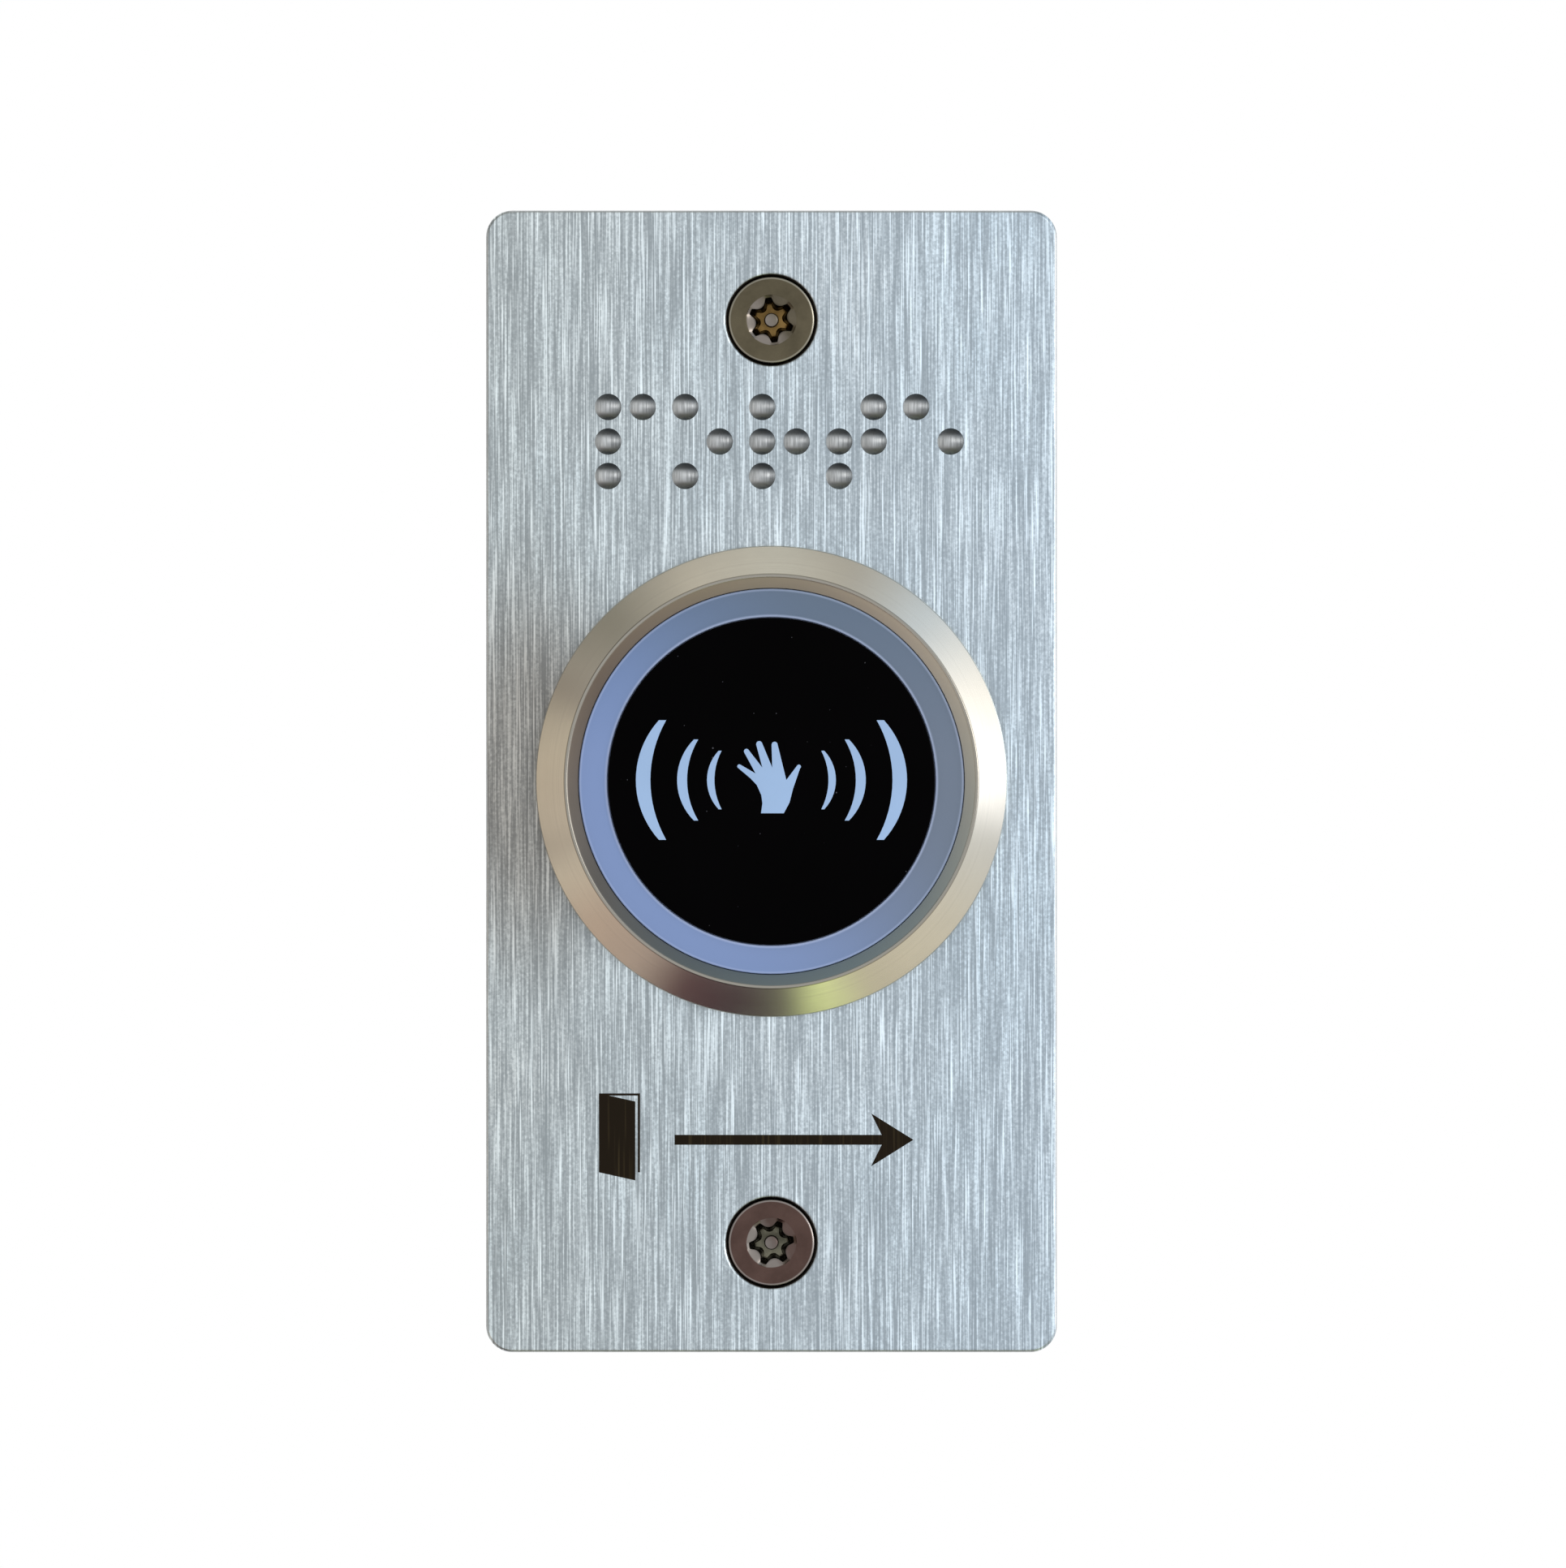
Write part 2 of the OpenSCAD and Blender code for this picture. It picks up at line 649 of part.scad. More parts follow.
module relay_return_spring() color("lightgray") in_relay() {
    over = armature_z + armature_t + return_over;
    bend = knife_h - 1.7;
    outside = leg_x - return_stand;
    translate([leg_x - return_t, -return_w / 2, bend - return_tail])
        cube([return_t, return_w, return_tail + return_t]);
    translate([outside, -return_w / 2, bend]) cube([return_stand, return_w, return_t]);
    translate([outside, -return_w / 2, bend]) cube([return_t, return_w, over + return_lip_t - bend]);
    translate([outside, -return_w / 2, over]) cube([return_stand + 0.3, return_w, return_lip_t]);
}

module relay_pins() color("gold") facing() at_relay_pins() disc(relay_pin_d, relay_board_back, relay_z);

// Places and sizes of the loose parts round the relay
capacitor_at = [8.6, 5.6];
capacitor_d = 4;
capacitor_h = 7;
diode_at = [-8.4, -5.8];
diode_d = 2.2;
diode_l = 4;
diode_lead_d = 0.6;
diode_span = 2.6;                  // half the distance between the two bends of its leads
regulator_at = [8.2, -5.9];
regulator_size = [2.5, 4.5];
regulator_h = 1.5;
regulator_lead = [1, 0.5];
regulator_lead_x = -1.5;
regulator_tab = [0.9, 1.8];
regulator_tab_x = 1.45;
lead_t = 0.3;

module surge_capacitor() color("black") facing() translate([capacitor_at[0], capacitor_at[1], 0])
    disc(capacitor_d, relay_board_front, relay_board_front + capacitor_h);

module flyback_diode() color("black") facing() translate([diode_at[0], diode_at[1], relay_board_front]) {
    translate([0, 0, diode_d / 2]) rotate([90, 0, 0]) {
        cylinder(d = diode_d, h = diode_l, center = true);
        cylinder(d = diode_lead_d, h = 2 * diode_span, center = true);
    }
    pair(0, diode_span) disc(diode_lead_d, 0, (diode_d + diode_lead_d) / 2);
}

module voltage_regulator() color("black") facing()
    translate([regulator_at[0], regulator_at[1], relay_board_front]) {
        block(regulator_size, chip_stand, regulator_h);
        for (y = [-1.5 : 1.5 : 1.5]) translate([regulator_lead_x, y, 0]) block(regulator_lead, 0, lead_t);
        translate([regulator_tab_x, 0, 0]) block(regulator_tab, 0, lead_t);
    }

// --- Adjusters and header on the back -----------------------------------------

adjuster_top = relay_board_back - adjuster_h;
rotor_depth = 1.7;
adjuster_sink = 0.1;               // how far the rotor and the sliders stay below the top
driver_slot_w = 0.7;
driver_slot_h = 0.9;
slider_well = 2;                   // depth of the wells that the sliders run in
header_floor = 1;
header_end = relay_board_back - header_h;
key_slot_w = 1.2;                  // slots in the header's long wall that key the plug
key_slot_in = 3;                   // their distance from its ends, and from the board
key_slot_reach = 2 * header_wall + 0.4;
pin_drop_in = 1.4;                 // how far the pins stay inside the header

module wiring_header() color("ivory") facing() difference() {
    translate([0, header_y, 0]) difference() {
        block([header_l, header_w], header_end, relay_board_back);
        block([header_l - 2 * header_wall, header_w - 2 * header_wall], header_end - slit,
            relay_board_back - header_floor);
        pair(header_l / 2 - key_slot_in) translate([0, header_w / 2, 0])
            block([key_slot_w, key_slot_reach], header_end - slit, relay_board_back - key_slot_in);
    }
    at_header_pins() block([pin_w, pin_w], relay_board_back - header_floor - slit, relay_board_back + slit);
}

module header_pins() color("gold") facing() at_header_pins()
    block([pin_w, pin_w], header_end + pin_drop_in, relay_board_front);

module trimmer_body() color("royalblue") facing() translate([-adjuster_x, adjuster_y, 0]) difference() {
    block([trimmer_side, trimmer_side], adjuster_top, relay_board_back);
    disc(rotor_d + 2 * running_gap, adjuster_top - slit, adjuster_top + rotor_depth + running_gap);
}

module trimmer_rotor() color("white") facing() translate([-adjuster_x, adjuster_y, 0]) difference() {
    disc(rotor_d, adjuster_top + adjuster_sink, adjuster_top + rotor_depth);
    block([2 * rotor_d, driver_slot_w], adjuster_top, adjuster_top + driver_slot_h);
}

module at_slider(i) translate([adjuster_x + (i - 0.5) * slider_pitch, adjuster_y, 0]) children();

module mode_switch_body() color("firebrick") facing() difference() {
    translate([adjuster_x, adjuster_y, 0]) block([switch_side, switch_side], adjuster_top, relay_board_back);
    for (i = [0, 1]) at_slider(i)
        block([slider_w + 2 * running_gap, slider_l + slider_travel + 2 * running_gap],
            adjuster_top - slit, adjuster_top + slider_well);
}

module slider(i) color("white") facing() at_slider(i) translate([0, -slider_travel / 2, 0])
    block([slider_w, slider_l], adjuster_top + adjuster_sink, adjuster_top + slider_well - running_gap);

module mode_slider_1() slider(0);

module mode_slider_2() slider(1);

// --- Rear cover ----------------------------------------------------------------

window_margin = 0.35;
spigot_gap = 0.05;
spigot_wall = 0.75;
spigot_d = barrel_bore_d - 2 * spigot_gap;
spigot_bore_d = spigot_d - 2 * spigot_wall;

module header_window() translate([0, header_y, 0])
    block([header_l + 2 * window_margin, header_w + 2 * window_margin], cover_end - slit, barrel_end);

module adjuster_window() translate([0, adjuster_y, 0])
    block([2 * adjuster_x + trimmer_side + 2 * window_margin, trimmer_side + 4 * window_margin],
        cover_end - slit, cover_end + cover_wall + slit);

module rear_cover() color("dimgray") facing() difference() {
    union() {
        difference() {
            disc(barrel_d, cover_end, barrel_end);
            disc(spigot_bore_d, cover_end + cover_wall, barrel_end + slit);
        }
        tube(spigot_d, spigot_bore_d, barrel_end - slit, relay_board_back);
        pair(standoff_x) disc(standoff_flats, cover_end + slit, relay_board_back);
    }
    pair(standoff_x) disc(small_hole_d, cover_end - slit, relay_board_back + slit);
    header_window();
    adjuster_window();
}

module cover_screws() color("silver") facing() pair(standoff_x) difference() {
    union() {
        disc(small_head_d, cover_end - small_head_h, cover_end);
        disc(small_screw_d, cover_end - slit, relay_board_front + small_grip);
    }
    cross_slot(cover_end - small_head_h - slit, cover_end - small_head_h + cross_depth);
}

face_plate();
braille_pins();
door_pictogram();
arrow_pictogram();
mounting_screws();
bezel_ring();
flange_seal();
lock_washer();
clamp_nut();
lens_seal();
diffuser_cap();
black_window();
hand_symbol();
wave_symbols();
optic_shroud();
ir_emitter();
ir_receiver();
sensor_board();
status_leds();
controller_chip();
chip_components();
board_screws();
board_standoffs();
board_link_pins();
relay_board();
relay_base();
relay_cover();
relay_yoke();
relay_core();
relay_bobbin();
relay_coil();
relay_armature();
relay_contact_spring();
relay_fixed_contacts();
relay_return_spring();
relay_pins();
surge_capacitor();
flyback_diode();
voltage_regulator();
wiring_header();
header_pins();
trimmer_body();
trimmer_rotor();
mode_switch_body();
mode_slider_1();
mode_slider_2();
rear_cover();
cover_screws();
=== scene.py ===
from math import pi, radians

import bmesh
import bpy
import numpy as np
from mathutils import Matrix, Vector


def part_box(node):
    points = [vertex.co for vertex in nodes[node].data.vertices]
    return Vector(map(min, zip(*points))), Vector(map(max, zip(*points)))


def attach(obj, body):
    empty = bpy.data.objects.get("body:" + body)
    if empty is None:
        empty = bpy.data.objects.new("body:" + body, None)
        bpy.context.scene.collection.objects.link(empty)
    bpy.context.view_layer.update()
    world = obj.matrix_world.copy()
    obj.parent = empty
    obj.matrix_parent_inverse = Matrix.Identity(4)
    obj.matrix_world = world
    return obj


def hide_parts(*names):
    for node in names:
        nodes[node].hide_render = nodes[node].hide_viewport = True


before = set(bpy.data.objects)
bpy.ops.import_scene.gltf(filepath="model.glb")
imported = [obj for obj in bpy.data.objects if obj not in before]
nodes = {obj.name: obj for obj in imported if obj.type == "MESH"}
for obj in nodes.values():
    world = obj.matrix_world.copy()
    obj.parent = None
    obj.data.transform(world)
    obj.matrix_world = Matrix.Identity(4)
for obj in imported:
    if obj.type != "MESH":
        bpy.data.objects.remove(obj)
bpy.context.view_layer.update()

# Touchless door-release button. The plate stands upright and faces -Y, so every shape is
# worked out as (across, up, out) in millimetres and then stood up by standUp().

mm = 0.001


def nodeBox(name):
    # lowest and highest corner of a CAD node as (across, up, out) in millimetres
    low, high = (np.array(corner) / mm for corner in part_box(name))
    return np.array([low[0], low[2], -high[1]]), np.array([high[0], high[2], -low[1]])


def standUp(points):
    # (across, up, out) in millimetres becomes (x, -out, up) in metres
    points = np.asarray(points, float)
    return np.stack([points[..., 0], -points[..., 2], points[..., 1]], axis=-1) * mm


def surface(points, closed=False):
    # points[u, v] are the places of a two-parameter surface, and a four-sided face joins each
    # to the next in both directions; closed joins the last v to the first
    rows, columns = points.shape[:2]
    a, b = np.meshgrid(np.arange(rows - 1), np.arange(columns - (not closed)), indexing="ij")
    b2 = (b + 1) % columns
    corners = [a * columns + b, (a + 1) * columns + b, (a + 1) * columns + b2, a * columns + b2]
    return points.reshape(-1, 3), np.stack(corners, axis=-1).reshape(-1, 4)


def makePiece(name, surfaces, body="head", node=None, smoothAngle=32, merge=0.0004):
    # the surfaces are put in one mesh, welded where they meet and turned to face outwards
    places = np.concatenate([points for points, faces in surfaces])
    offsets = np.cumsum([0] + [len(points) for points, faces in surfaces[:-1]])
    faces = np.concatenate([faces + start for (points, faces), start in zip(surfaces, offsets)])
    mesh = bpy.data.meshes.new(name)
    mesh.from_pydata(standUp(places).tolist(), [], faces.tolist())
    weld = bmesh.new()
    weld.from_mesh(mesh)
    bmesh.ops.remove_doubles(weld, verts=weld.verts, dist=merge * mm)
    bmesh.ops.dissolve_degenerate(weld, edges=weld.edges, dist=merge * mm * 0.2)
    bmesh.ops.recalc_face_normals(weld, faces=weld.faces)
    weld.to_mesh(mesh)
    weld.free()
    mesh.validate()
    mesh.shade_smooth()
    mesh.set_sharp_from_angle(angle=radians(smoothAngle))
    return place(bpy.data.objects.new(name, mesh), body, node)


def place(piece, body, node):
    bpy.context.scene.collection.objects.link(piece)
    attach(piece, body)
    if node:
        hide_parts(node)
    return piece


def softened(points, radius, steps=5):
    # each corner gives way to (1-t)^2 * before + 2t(1-t) * corner + t^2 * after,
    # where before and after lie on its two sides at the given distance
    corners, reach = np.asarray(points, float), np.asarray(radius, float)
    toLast, toNext = np.roll(corners, 1, 0) - corners, np.roll(corners, -1, 0) - corners
    lastLength = np.linalg.norm(toLast, axis=1) + 1e-9
    nextLength = np.linalg.norm(toNext, axis=1) + 1e-9
    before = corners + toLast * (np.minimum(reach, lastLength * 0.49) / lastLength)[:, None]
    after = corners + toNext * (np.minimum(reach, nextLength * 0.49) / nextLength)[:, None]
    t = np.linspace(0, 1, steps)[None, :, None]
    curve = (1 - t) ** 2 * before[:, None] + 2 * t * (1 - t) * corners[:, None]
    curve = (curve + t ** 2 * after[:, None]).reshape(-1, 2)
    keep = np.r_[True, np.linalg.norm(np.diff(curve, axis=0), axis=1) > 1e-6]
    return curve[keep]


def roundAngles(count):
    # once round and back to the start: the last angle repeats the first, and the two are welded
    return np.arange(count + 1)[:, None] * 2 * pi / count


def shaped(radius, out, centre=(0, 0), turn=0.0):
    # arrays [angle, step] carried round an axis: across = radius*cos(a), up = radius*sin(a)
    radius, out = np.broadcast_arrays(radius, out)
    a = turn + roundAngles(radius.shape[0] - 1)
    points = np.stack([centre[0] + radius * np.cos(a), centre[1] + radius * np.sin(a), out], axis=-1)
    return surface(points)


def turned(profile, centre=(0, 0), count=96):
    # a profile of (radius, out), the same at every angle
    return shaped(*stacked([profile], count), centre)


def threaded(radius, depth, pitch, outFrom, outTo, count, fade, crest=0.19):
    # the grid follows the helix: line k of turn n lies at
    # out = low + pitch * (n - 1 + phase_k + angle/360), held between the two ends, and its radius
    # is radius - depth * wave(phase_k), where the depth dies away at the ends; the wave is a V
    # once a turn with a flat crest, 0 on the crest and 1 in the root
    low, high = min(outFrom, outTo), max(outFrom, outTo)
    phase = np.array([0, 0.13, 0.27, 0.405, 0.5, 0.595, 0.73, 0.87])
    turns = np.arange(int(np.ceil((high - low) / pitch)) + 2)
    line = (turns[:, None] + phase[None, :]).ravel()[None, :]
    out = np.clip(low + pitch * (line - 1 + roundAngles(count) / (2 * pi)), low, high)
    level = np.clip(np.minimum(out - low, high - out) / (fade * pitch), 0, 1)
    wave = np.clip((np.abs((line % 1.0) * 2 - 1) - crest) / (1 - crest), 0, 1)
    result = radius - depth * wave * level, out
    return result if outFrom < outTo else tuple(part[:, ::-1] for part in result)


def squarePost(across, up, outs, halves):
    # a square section at each height, with its half-width there
    corners = np.array([(-1, -1), (1, -1), (1, 1), (-1, 1)])
    ring = corners[None] * np.asarray(halves)[:, None, None] + np.array([across, up])
    level = np.broadcast_to(np.asarray(outs)[:, None, None], (len(outs), 4, 1))
    return surface(np.concatenate([ring, level], axis=2), closed=True)


def stacked(parts, count):
    # joins plain (radius, out) profiles and [angle, step] arrays into one skin round an axis
    count += 1
    radii, outs = [], []
    for part in parts:
        if isinstance(part, tuple):
            radius, out = np.broadcast_arrays(*part)
        else:
            profile = np.asarray(part, float).reshape(-1, 2)
            radius, out = (np.broadcast_to(profile[:, k], (count, len(profile))) for k in (0, 1))
        radii.append(radius)
        outs.append(out)
    return np.concatenate(radii, axis=1), np.concatenate(outs, axis=1)


def meshPoints(mesh):
    points = np.zeros(len(mesh.vertices) * 3, np.float32)
    mesh.vertices.foreach_get("co", points)
    return points.reshape(-1, 3)


def weldedCopy(name, node):
    # a copy of a CAD node's mesh with its doubles merged and its flat faces joined up
    mesh = nodes[node].data.copy()
    mesh.name = name
    weld = bmesh.new()
    weld.from_mesh(mesh)
    bmesh.ops.remove_doubles(weld, verts=weld.verts, dist=0.0006 * mm)
    bmesh.ops.dissolve_limit(weld, angle_limit=radians(0.6), verts=weld.verts, edges=weld.edges)
    weld.to_mesh(mesh)
    weld.free()
    mesh.materials.clear()
    return mesh


def edged(name, node, body="head", width=0.1, segments=3, angle=34, weights=None):
    # a welded copy whose sharp edges are rounded over, or only those that weights picks
    mesh = weldedCopy(name, node)
    mesh.shade_smooth()
    piece = bpy.data.objects.new(name, mesh)
    bevel = piece.modifiers.new("edges", "BEVEL")
    bevel.width = width * mm
    bevel.segments = segments
    bevel.use_clamp_overlap = True
    bevel.miter_outer = "MITER_ARC"
    if weights is None:
        bevel.limit_method = "ANGLE"
        bevel.angle_limit = radians(angle)
    else:
        ends = np.zeros(len(mesh.edges) * 2, np.int32)
        mesh.edges.foreach_get("vertices", ends)
        points = meshPoints(mesh)[ends.reshape(-1, 2)] / mm
        layer = mesh.attributes.new("bevel_weight_edge", "FLOAT", "EDGE")
        layer.data.foreach_set("value", weights(points[:, 0], points[:, 1]).astype(np.float32))
        bevel.limit_method = "WEIGHT"
    mesh.set_sharp_from_angle(angle=radians(angle))
    flats = piece.modifiers.new("flats", "WEIGHTED_NORMAL")   # big flat faces keep their own normal
    flats.keep_sharp = True
    flats.weight = 80
    return place(piece, body, node)


print("surfaces and helpers ready")


view = dict(distance=1.5, frameWidth=118.1, aimAcross=0.87, aimUp=-0.2, faceOut=2, sensor=36)


def makeCamera():
    # it looks straight at the face
    data = bpy.data.cameras.new("camera")
    data.sensor_width = data.sensor_height = view["sensor"]
    data.lens = view["sensor"] * view["distance"] / (view["frameWidth"] * mm)
    data.clip_start = 0.05
    camera = bpy.data.objects.new("camera", data)
    bpy.context.scene.collection.objects.link(camera)
    camera.location = standUp((view["aimAcross"], view["aimUp"], view["faceOut"] + view["distance"] / mm))
    camera.rotation_euler = (pi / 2, 0, 0)
    bpy.context.scene.camera = camera


makeCamera()
bpy.context.scene.view_settings.view_transform = "Standard"


class Graph:
    # a node tree built by small calls; every colour is linear
    def __init__(self, tree):
        self.tree = tree

    def node(self, kind, **settings):
        made = self.tree.nodes.new(kind)
        for key, value in settings.items():
            setattr(made, key, value)
        return made

    def feed(self, socket, value):
        if isinstance(value, bpy.types.NodeSocket):
            self.tree.links.new(value, socket)
        else:
            socket.default_value = value

    def math(self, what, a, b=0.0, c=0.0):
        made = self.node("ShaderNodeMath", operation=what)
        for socket, value in zip(made.inputs, (a, b, c)):
            self.feed(socket, value)
        return made.outputs[0]

    def spread(self, value, fromLow, fromHigh, toLow=0.0, toHigh=1.0, smooth=False):
        made = self.node("ShaderNodeMapRange", clamp=True)
        made.interpolation_type = "SMOOTHSTEP" if smooth else "LINEAR"
        for socket, number in zip(made.inputs, (value, fromLow, fromHigh, toLow, toHigh)):
            self.feed(socket, number)
        return made.outputs[0]

    def within(self, value, edge, blur):
        # 1 below an edge in millimetres, 0 once past it by the blur
        return self.spread(value, edge * mm, (edge + blur) * mm, 1.0, 0.0)

    def beyond(self, value, edge, blur):
        # 0 below an edge in millimetres, 1 once past it by the blur
        return self.spread(value, edge * mm, (edge + blur) * mm)

    def blend(self, amount, first, second, how="MIX"):
        made = self.node("ShaderNodeMix", data_type="RGBA", blend_type=how)
        self.feed(made.inputs[0], amount)
        self.feed(made.inputs[6], (*first, 1) if isinstance(first, tuple) else first)
        self.feed(made.inputs[7], (*second, 1) if isinstance(second, tuple) else second)
        return made.outputs[2]

    def either(self, amount, first, second):
        # a mix of two shaders
        made = self.node("ShaderNodeMixShader")
        for socket, value in zip(made.inputs, (amount, first, second)):
            self.feed(socket, value)
        return made.outputs[0]

    def parts(self, vector):
        made = self.node("ShaderNodeSeparateXYZ")
        self.feed(made.inputs[0], vector)
        return made.outputs


class Finish(Graph):
    # one node material, read in object coordinates
    def __init__(self, name):
        self.material = bpy.data.materials.new(name)
        self.material.use_nodes = True
        super().__init__(self.material.node_tree)
        self.shader = self.tree.nodes["Principled BSDF"]
        self.place = self.node("ShaderNodeTexCoord").outputs["Object"]

    def set(self, **values):
        for key, value in values.items():
            self.feed(self.shader.inputs[key.replace("_", " ")], value)
        return self

    def noise(self, scale, detail=2.0, roughness=0.5, offset=(0, 0, 0), vector=None):
        if vector is None:
            mapping = self.node("ShaderNodeMapping")
            self.feed(mapping.inputs["Vector"], self.place)
            mapping.inputs["Scale"].default_value = scale
            mapping.inputs["Location"].default_value = offset
            vector = mapping.outputs["Vector"]
        made = self.node("ShaderNodeTexNoise")
        self.feed(made.inputs["Vector"], vector)
        made.inputs["Scale"].default_value = 1
        made.inputs["Detail"].default_value = detail
        made.inputs["Roughness"].default_value = roughness
        return made.outputs["Fac"]

    def bump(self, height, depth, strength=1.0):
        # depth is in millimetres
        made = self.node("ShaderNodeBump")
        made.inputs["Strength"].default_value = strength
        made.inputs["Distance"].default_value = depth * mm
        self.feed(made.inputs["Height"], height)
        self.feed(self.shader.inputs["Normal"], made.outputs["Normal"])
        return self

    def axes(self):
        return self.parts(self.place)

    def radius(self, centre=(0, 0), stretch=(1, 1), mirrored=False):
        # distance in metres from an axis that runs front to back, after dividing each way by
        # its stretch; mirrored folds the lower half onto the upper one
        x, y, z = self.axes()
        if mirrored:
            z = self.math("ABSOLUTE", z)
        dx = self.math("DIVIDE", self.math("SUBTRACT", x, centre[0] * mm), stretch[0])
        dz = self.math("DIVIDE", self.math("SUBTRACT", z, centre[1] * mm), stretch[1])
        square = self.math("MULTIPLY_ADD", dx, dx, self.math("MULTIPLY", dz, dz))
        return self.math("SQRT", square)

    def brushed(self, amount):
        tangent = self.node("ShaderNodeTangent", direction_type="UV_MAP")
        tangent.uv_map = "brushing"
        return self.set(Anisotropic=amount, Tangent=tangent.outputs[0])

    def along(self, *parts):
        made = self.node("ShaderNodeCombineXYZ")
        for socket, value in zip(made.inputs, parts):
            self.feed(socket, value)
        return made.outputs[0]

    def on(self, *pieces):
        for piece in pieces:
            piece.data.materials.clear()
            piece.data.materials.append(self.material)
        return self


def streaks(f, width, length, detail, offset=(0, 0, 0)):
    # noise stretched along the plate's height; width and length are in millimetres
    return f.noise((500 / width, 250, 500 / length), detail=detail, offset=offset)


def brushedPlate(name, look):
    # hairs, lines and bands run up the plate over a fine grain, with a few brighter scratches
    f = Finish(name)
    x, y, z = f.axes()
    hair = streaks(f, look["hair"], look["hairLength"], 1.5)
    line = streaks(f, look["line"], look["lineLength"], 1, (7, 3, 5))
    band = streaks(f, look["band"], look["bandLength"], 2, (3, 1, 9))
    grain = streaks(f, look["grain"], look["grainLength"], 1, (2, 2, 6))
    scratch = streaks(f, look["scratch"], look["scratchLength"], 1, (4, 8, 1))
    hairs = f.math("MULTIPLY_ADD", hair, 0.4, f.math("MULTIPLY", line, 0.3))
    slow = f.math("MULTIPLY_ADD", band, 0.08, f.math("MULTIPLY", grain, 0.22))
    total = f.math("ADD", hairs, slow)
    tone = f.math("POWER", f.spread(total, 0.5 - look["range"], 0.5 + look["range"]), look["curve"])
    shine = f.spread(f.math("MULTIPLY_ADD", scratch, 0.8, f.math("MULTIPLY", hair, 0.2)), 0.56, 0.70)
    warm = f.spread(f.noise((90, 40, 60), detail=2, offset=(8, 2, 2)), 0.35, 0.7)
    colour = f.blend(tone, look["dark"], f.blend(warm, look["light"], look["lightWarm"]))
    colour = f.blend(f.math("MULTIPLY", shine, 0.75), colour, look["shine"])
    # painted light and shade: the steel is painted a little darker and warmer to the left and lighter and
    # bluer to the right, with a painted shadow beside the head on its left
    paintedSideShading = f.blend(f.spread(x, -20 * mm, 19 * mm), look["leftPaintedShade"], look["rightPaintedLight"])
    beside = f.radius(look["shadeAt"], look["shadeSize"])
    shade = f.spread(beside, 0.25 * mm, 1.0 * mm, 1.0, 0.0, smooth=True)
    colour = f.blend(1.0, colour, f.blend(shade, paintedSideShading, look["shadeTint"]), "MULTIPLY")
    # its edges and its back are plain, not brushed
    edges = f.math("MAXIMUM", f.beyond(f.math("ABSOLUTE", x), 21.3, 0.15),
                   f.beyond(f.math("ABSOLUTE", z), 42.8, 0.15))
    mill = f.spread(f.noise((1600, 900, 1600), detail=3, offset=(6, 6, 2)), 0.3, 0.7)
    plain = f.math("MAXIMUM", edges, f.beyond(y, -0.25, 0.2))
    colour = f.blend(plain, colour, f.blend(mill, look["plainDark"], look["plain"]))
    # painted shade: the countersinks' walls, which lie between the faces and close to a screw, are painted
    # almost black
    between = f.math("MULTIPLY", f.beyond(y, -1.96, 0.06), f.within(y, -0.2, 0.15))
    sinkShade = f.math("MULTIPLY", between, f.within(f.radius((0, look["screwUp"]), mirrored=True), 3.66, 0.06))
    colour = f.blend(sinkShade, colour, look["sinkShadeTone"])
    f.set(Metallic=1.0, Base_Color=colour)
    f.set(Roughness=f.spread(hairs, 0.25, 0.5, look["roughness"][1], look["roughness"][0]))
    f.brushed(look["anisotropy"])
    f.bump(total, look["grooveDepth"], 0.6)
    return f


def turnedMetal(name, look):
    # tool marks are rings round the axis: noise read on the radius and on the depth only
    f = Finish(name)
    radius = f.radius()
    x, y, z = f.axes()
    line = 1000 / look["line"]
    ringPlace = f.along(f.math("MULTIPLY", radius, line), f.math("MULTIPLY", y, line), 0.0)
    rings = f.noise(None, detail=2, vector=ringPlace)
    haze = f.noise((260, 260, 260), detail=3)
    tone = f.math("MULTIPLY_ADD", rings, 0.55, f.math("MULTIPLY", haze, 0.45))
    low = tuple(c * look["contrast"] for c in look["colour"])
    colour = f.blend(f.spread(tone, 0.3, 0.7), low, look["colour"])
    # painted light and shade: in front of the plate and inside the throat's radius, the wall is painted dark
    # on the left and low down and lighter on the right and high up
    across = f.spread(x, -13 * mm, 15 * mm)
    wall = f.blend(across, look["throatLeftShade"], look["throatRightLight"])
    level = f.blend(f.spread(z, -14 * mm, 14 * mm), look["throatLowShade"], look["throatHighLight"])
    wall = f.blend(1.0, wall, level, "MULTIPLY")
    front = f.within(y, -2.3, 0.2)
    # painted shade: the lip is painted darker
    lip = f.math("MULTIPLY", front, f.within(radius, look["lip"], 0.06))
    inner = f.math("MULTIPLY", front, f.within(radius, look["throat"] - 0.12, 0.12))
    colour = f.blend(inner, f.blend(lip, colour, look["lipShade"]), wall)
    rough = f.spread(tone, 0.3, 0.7, look["roughness"][1], look["roughness"][0])
    rough = f.math("MULTIPLY_ADD", inner, look["throatRoughness"], rough)
    f.set(Metallic=1.0, Base_Color=colour, Roughness=rough)
    f.bump(rings, look["grooveDepth"], 0.8)
    return f


def plainMetal(name, colour, roughness=0.3, grain=0.12, depth=0.002, mottle=0.15):
    # fine grain over a slow mottle
    f = Finish(name)
    fine = f.noise((1000 / grain,) * 3, detail=2)
    slow = f.noise((300, 300, 300), detail=3, offset=(5, 2, 1))
    tone = f.math("MULTIPLY_ADD", fine, 0.4, f.math("MULTIPLY", slow, 0.6))
    low = tuple(c * (1 - mottle) for c in colour)
    f.set(Metallic=1.0, Base_Color=f.blend(f.spread(tone, 0.35, 0.65), low, colour))
    f.set(Roughness=f.spread(tone, 0.35, 0.65, roughness * 1.2, roughness * 0.8))
    f.bump(fine, depth, 0.7)
    return f


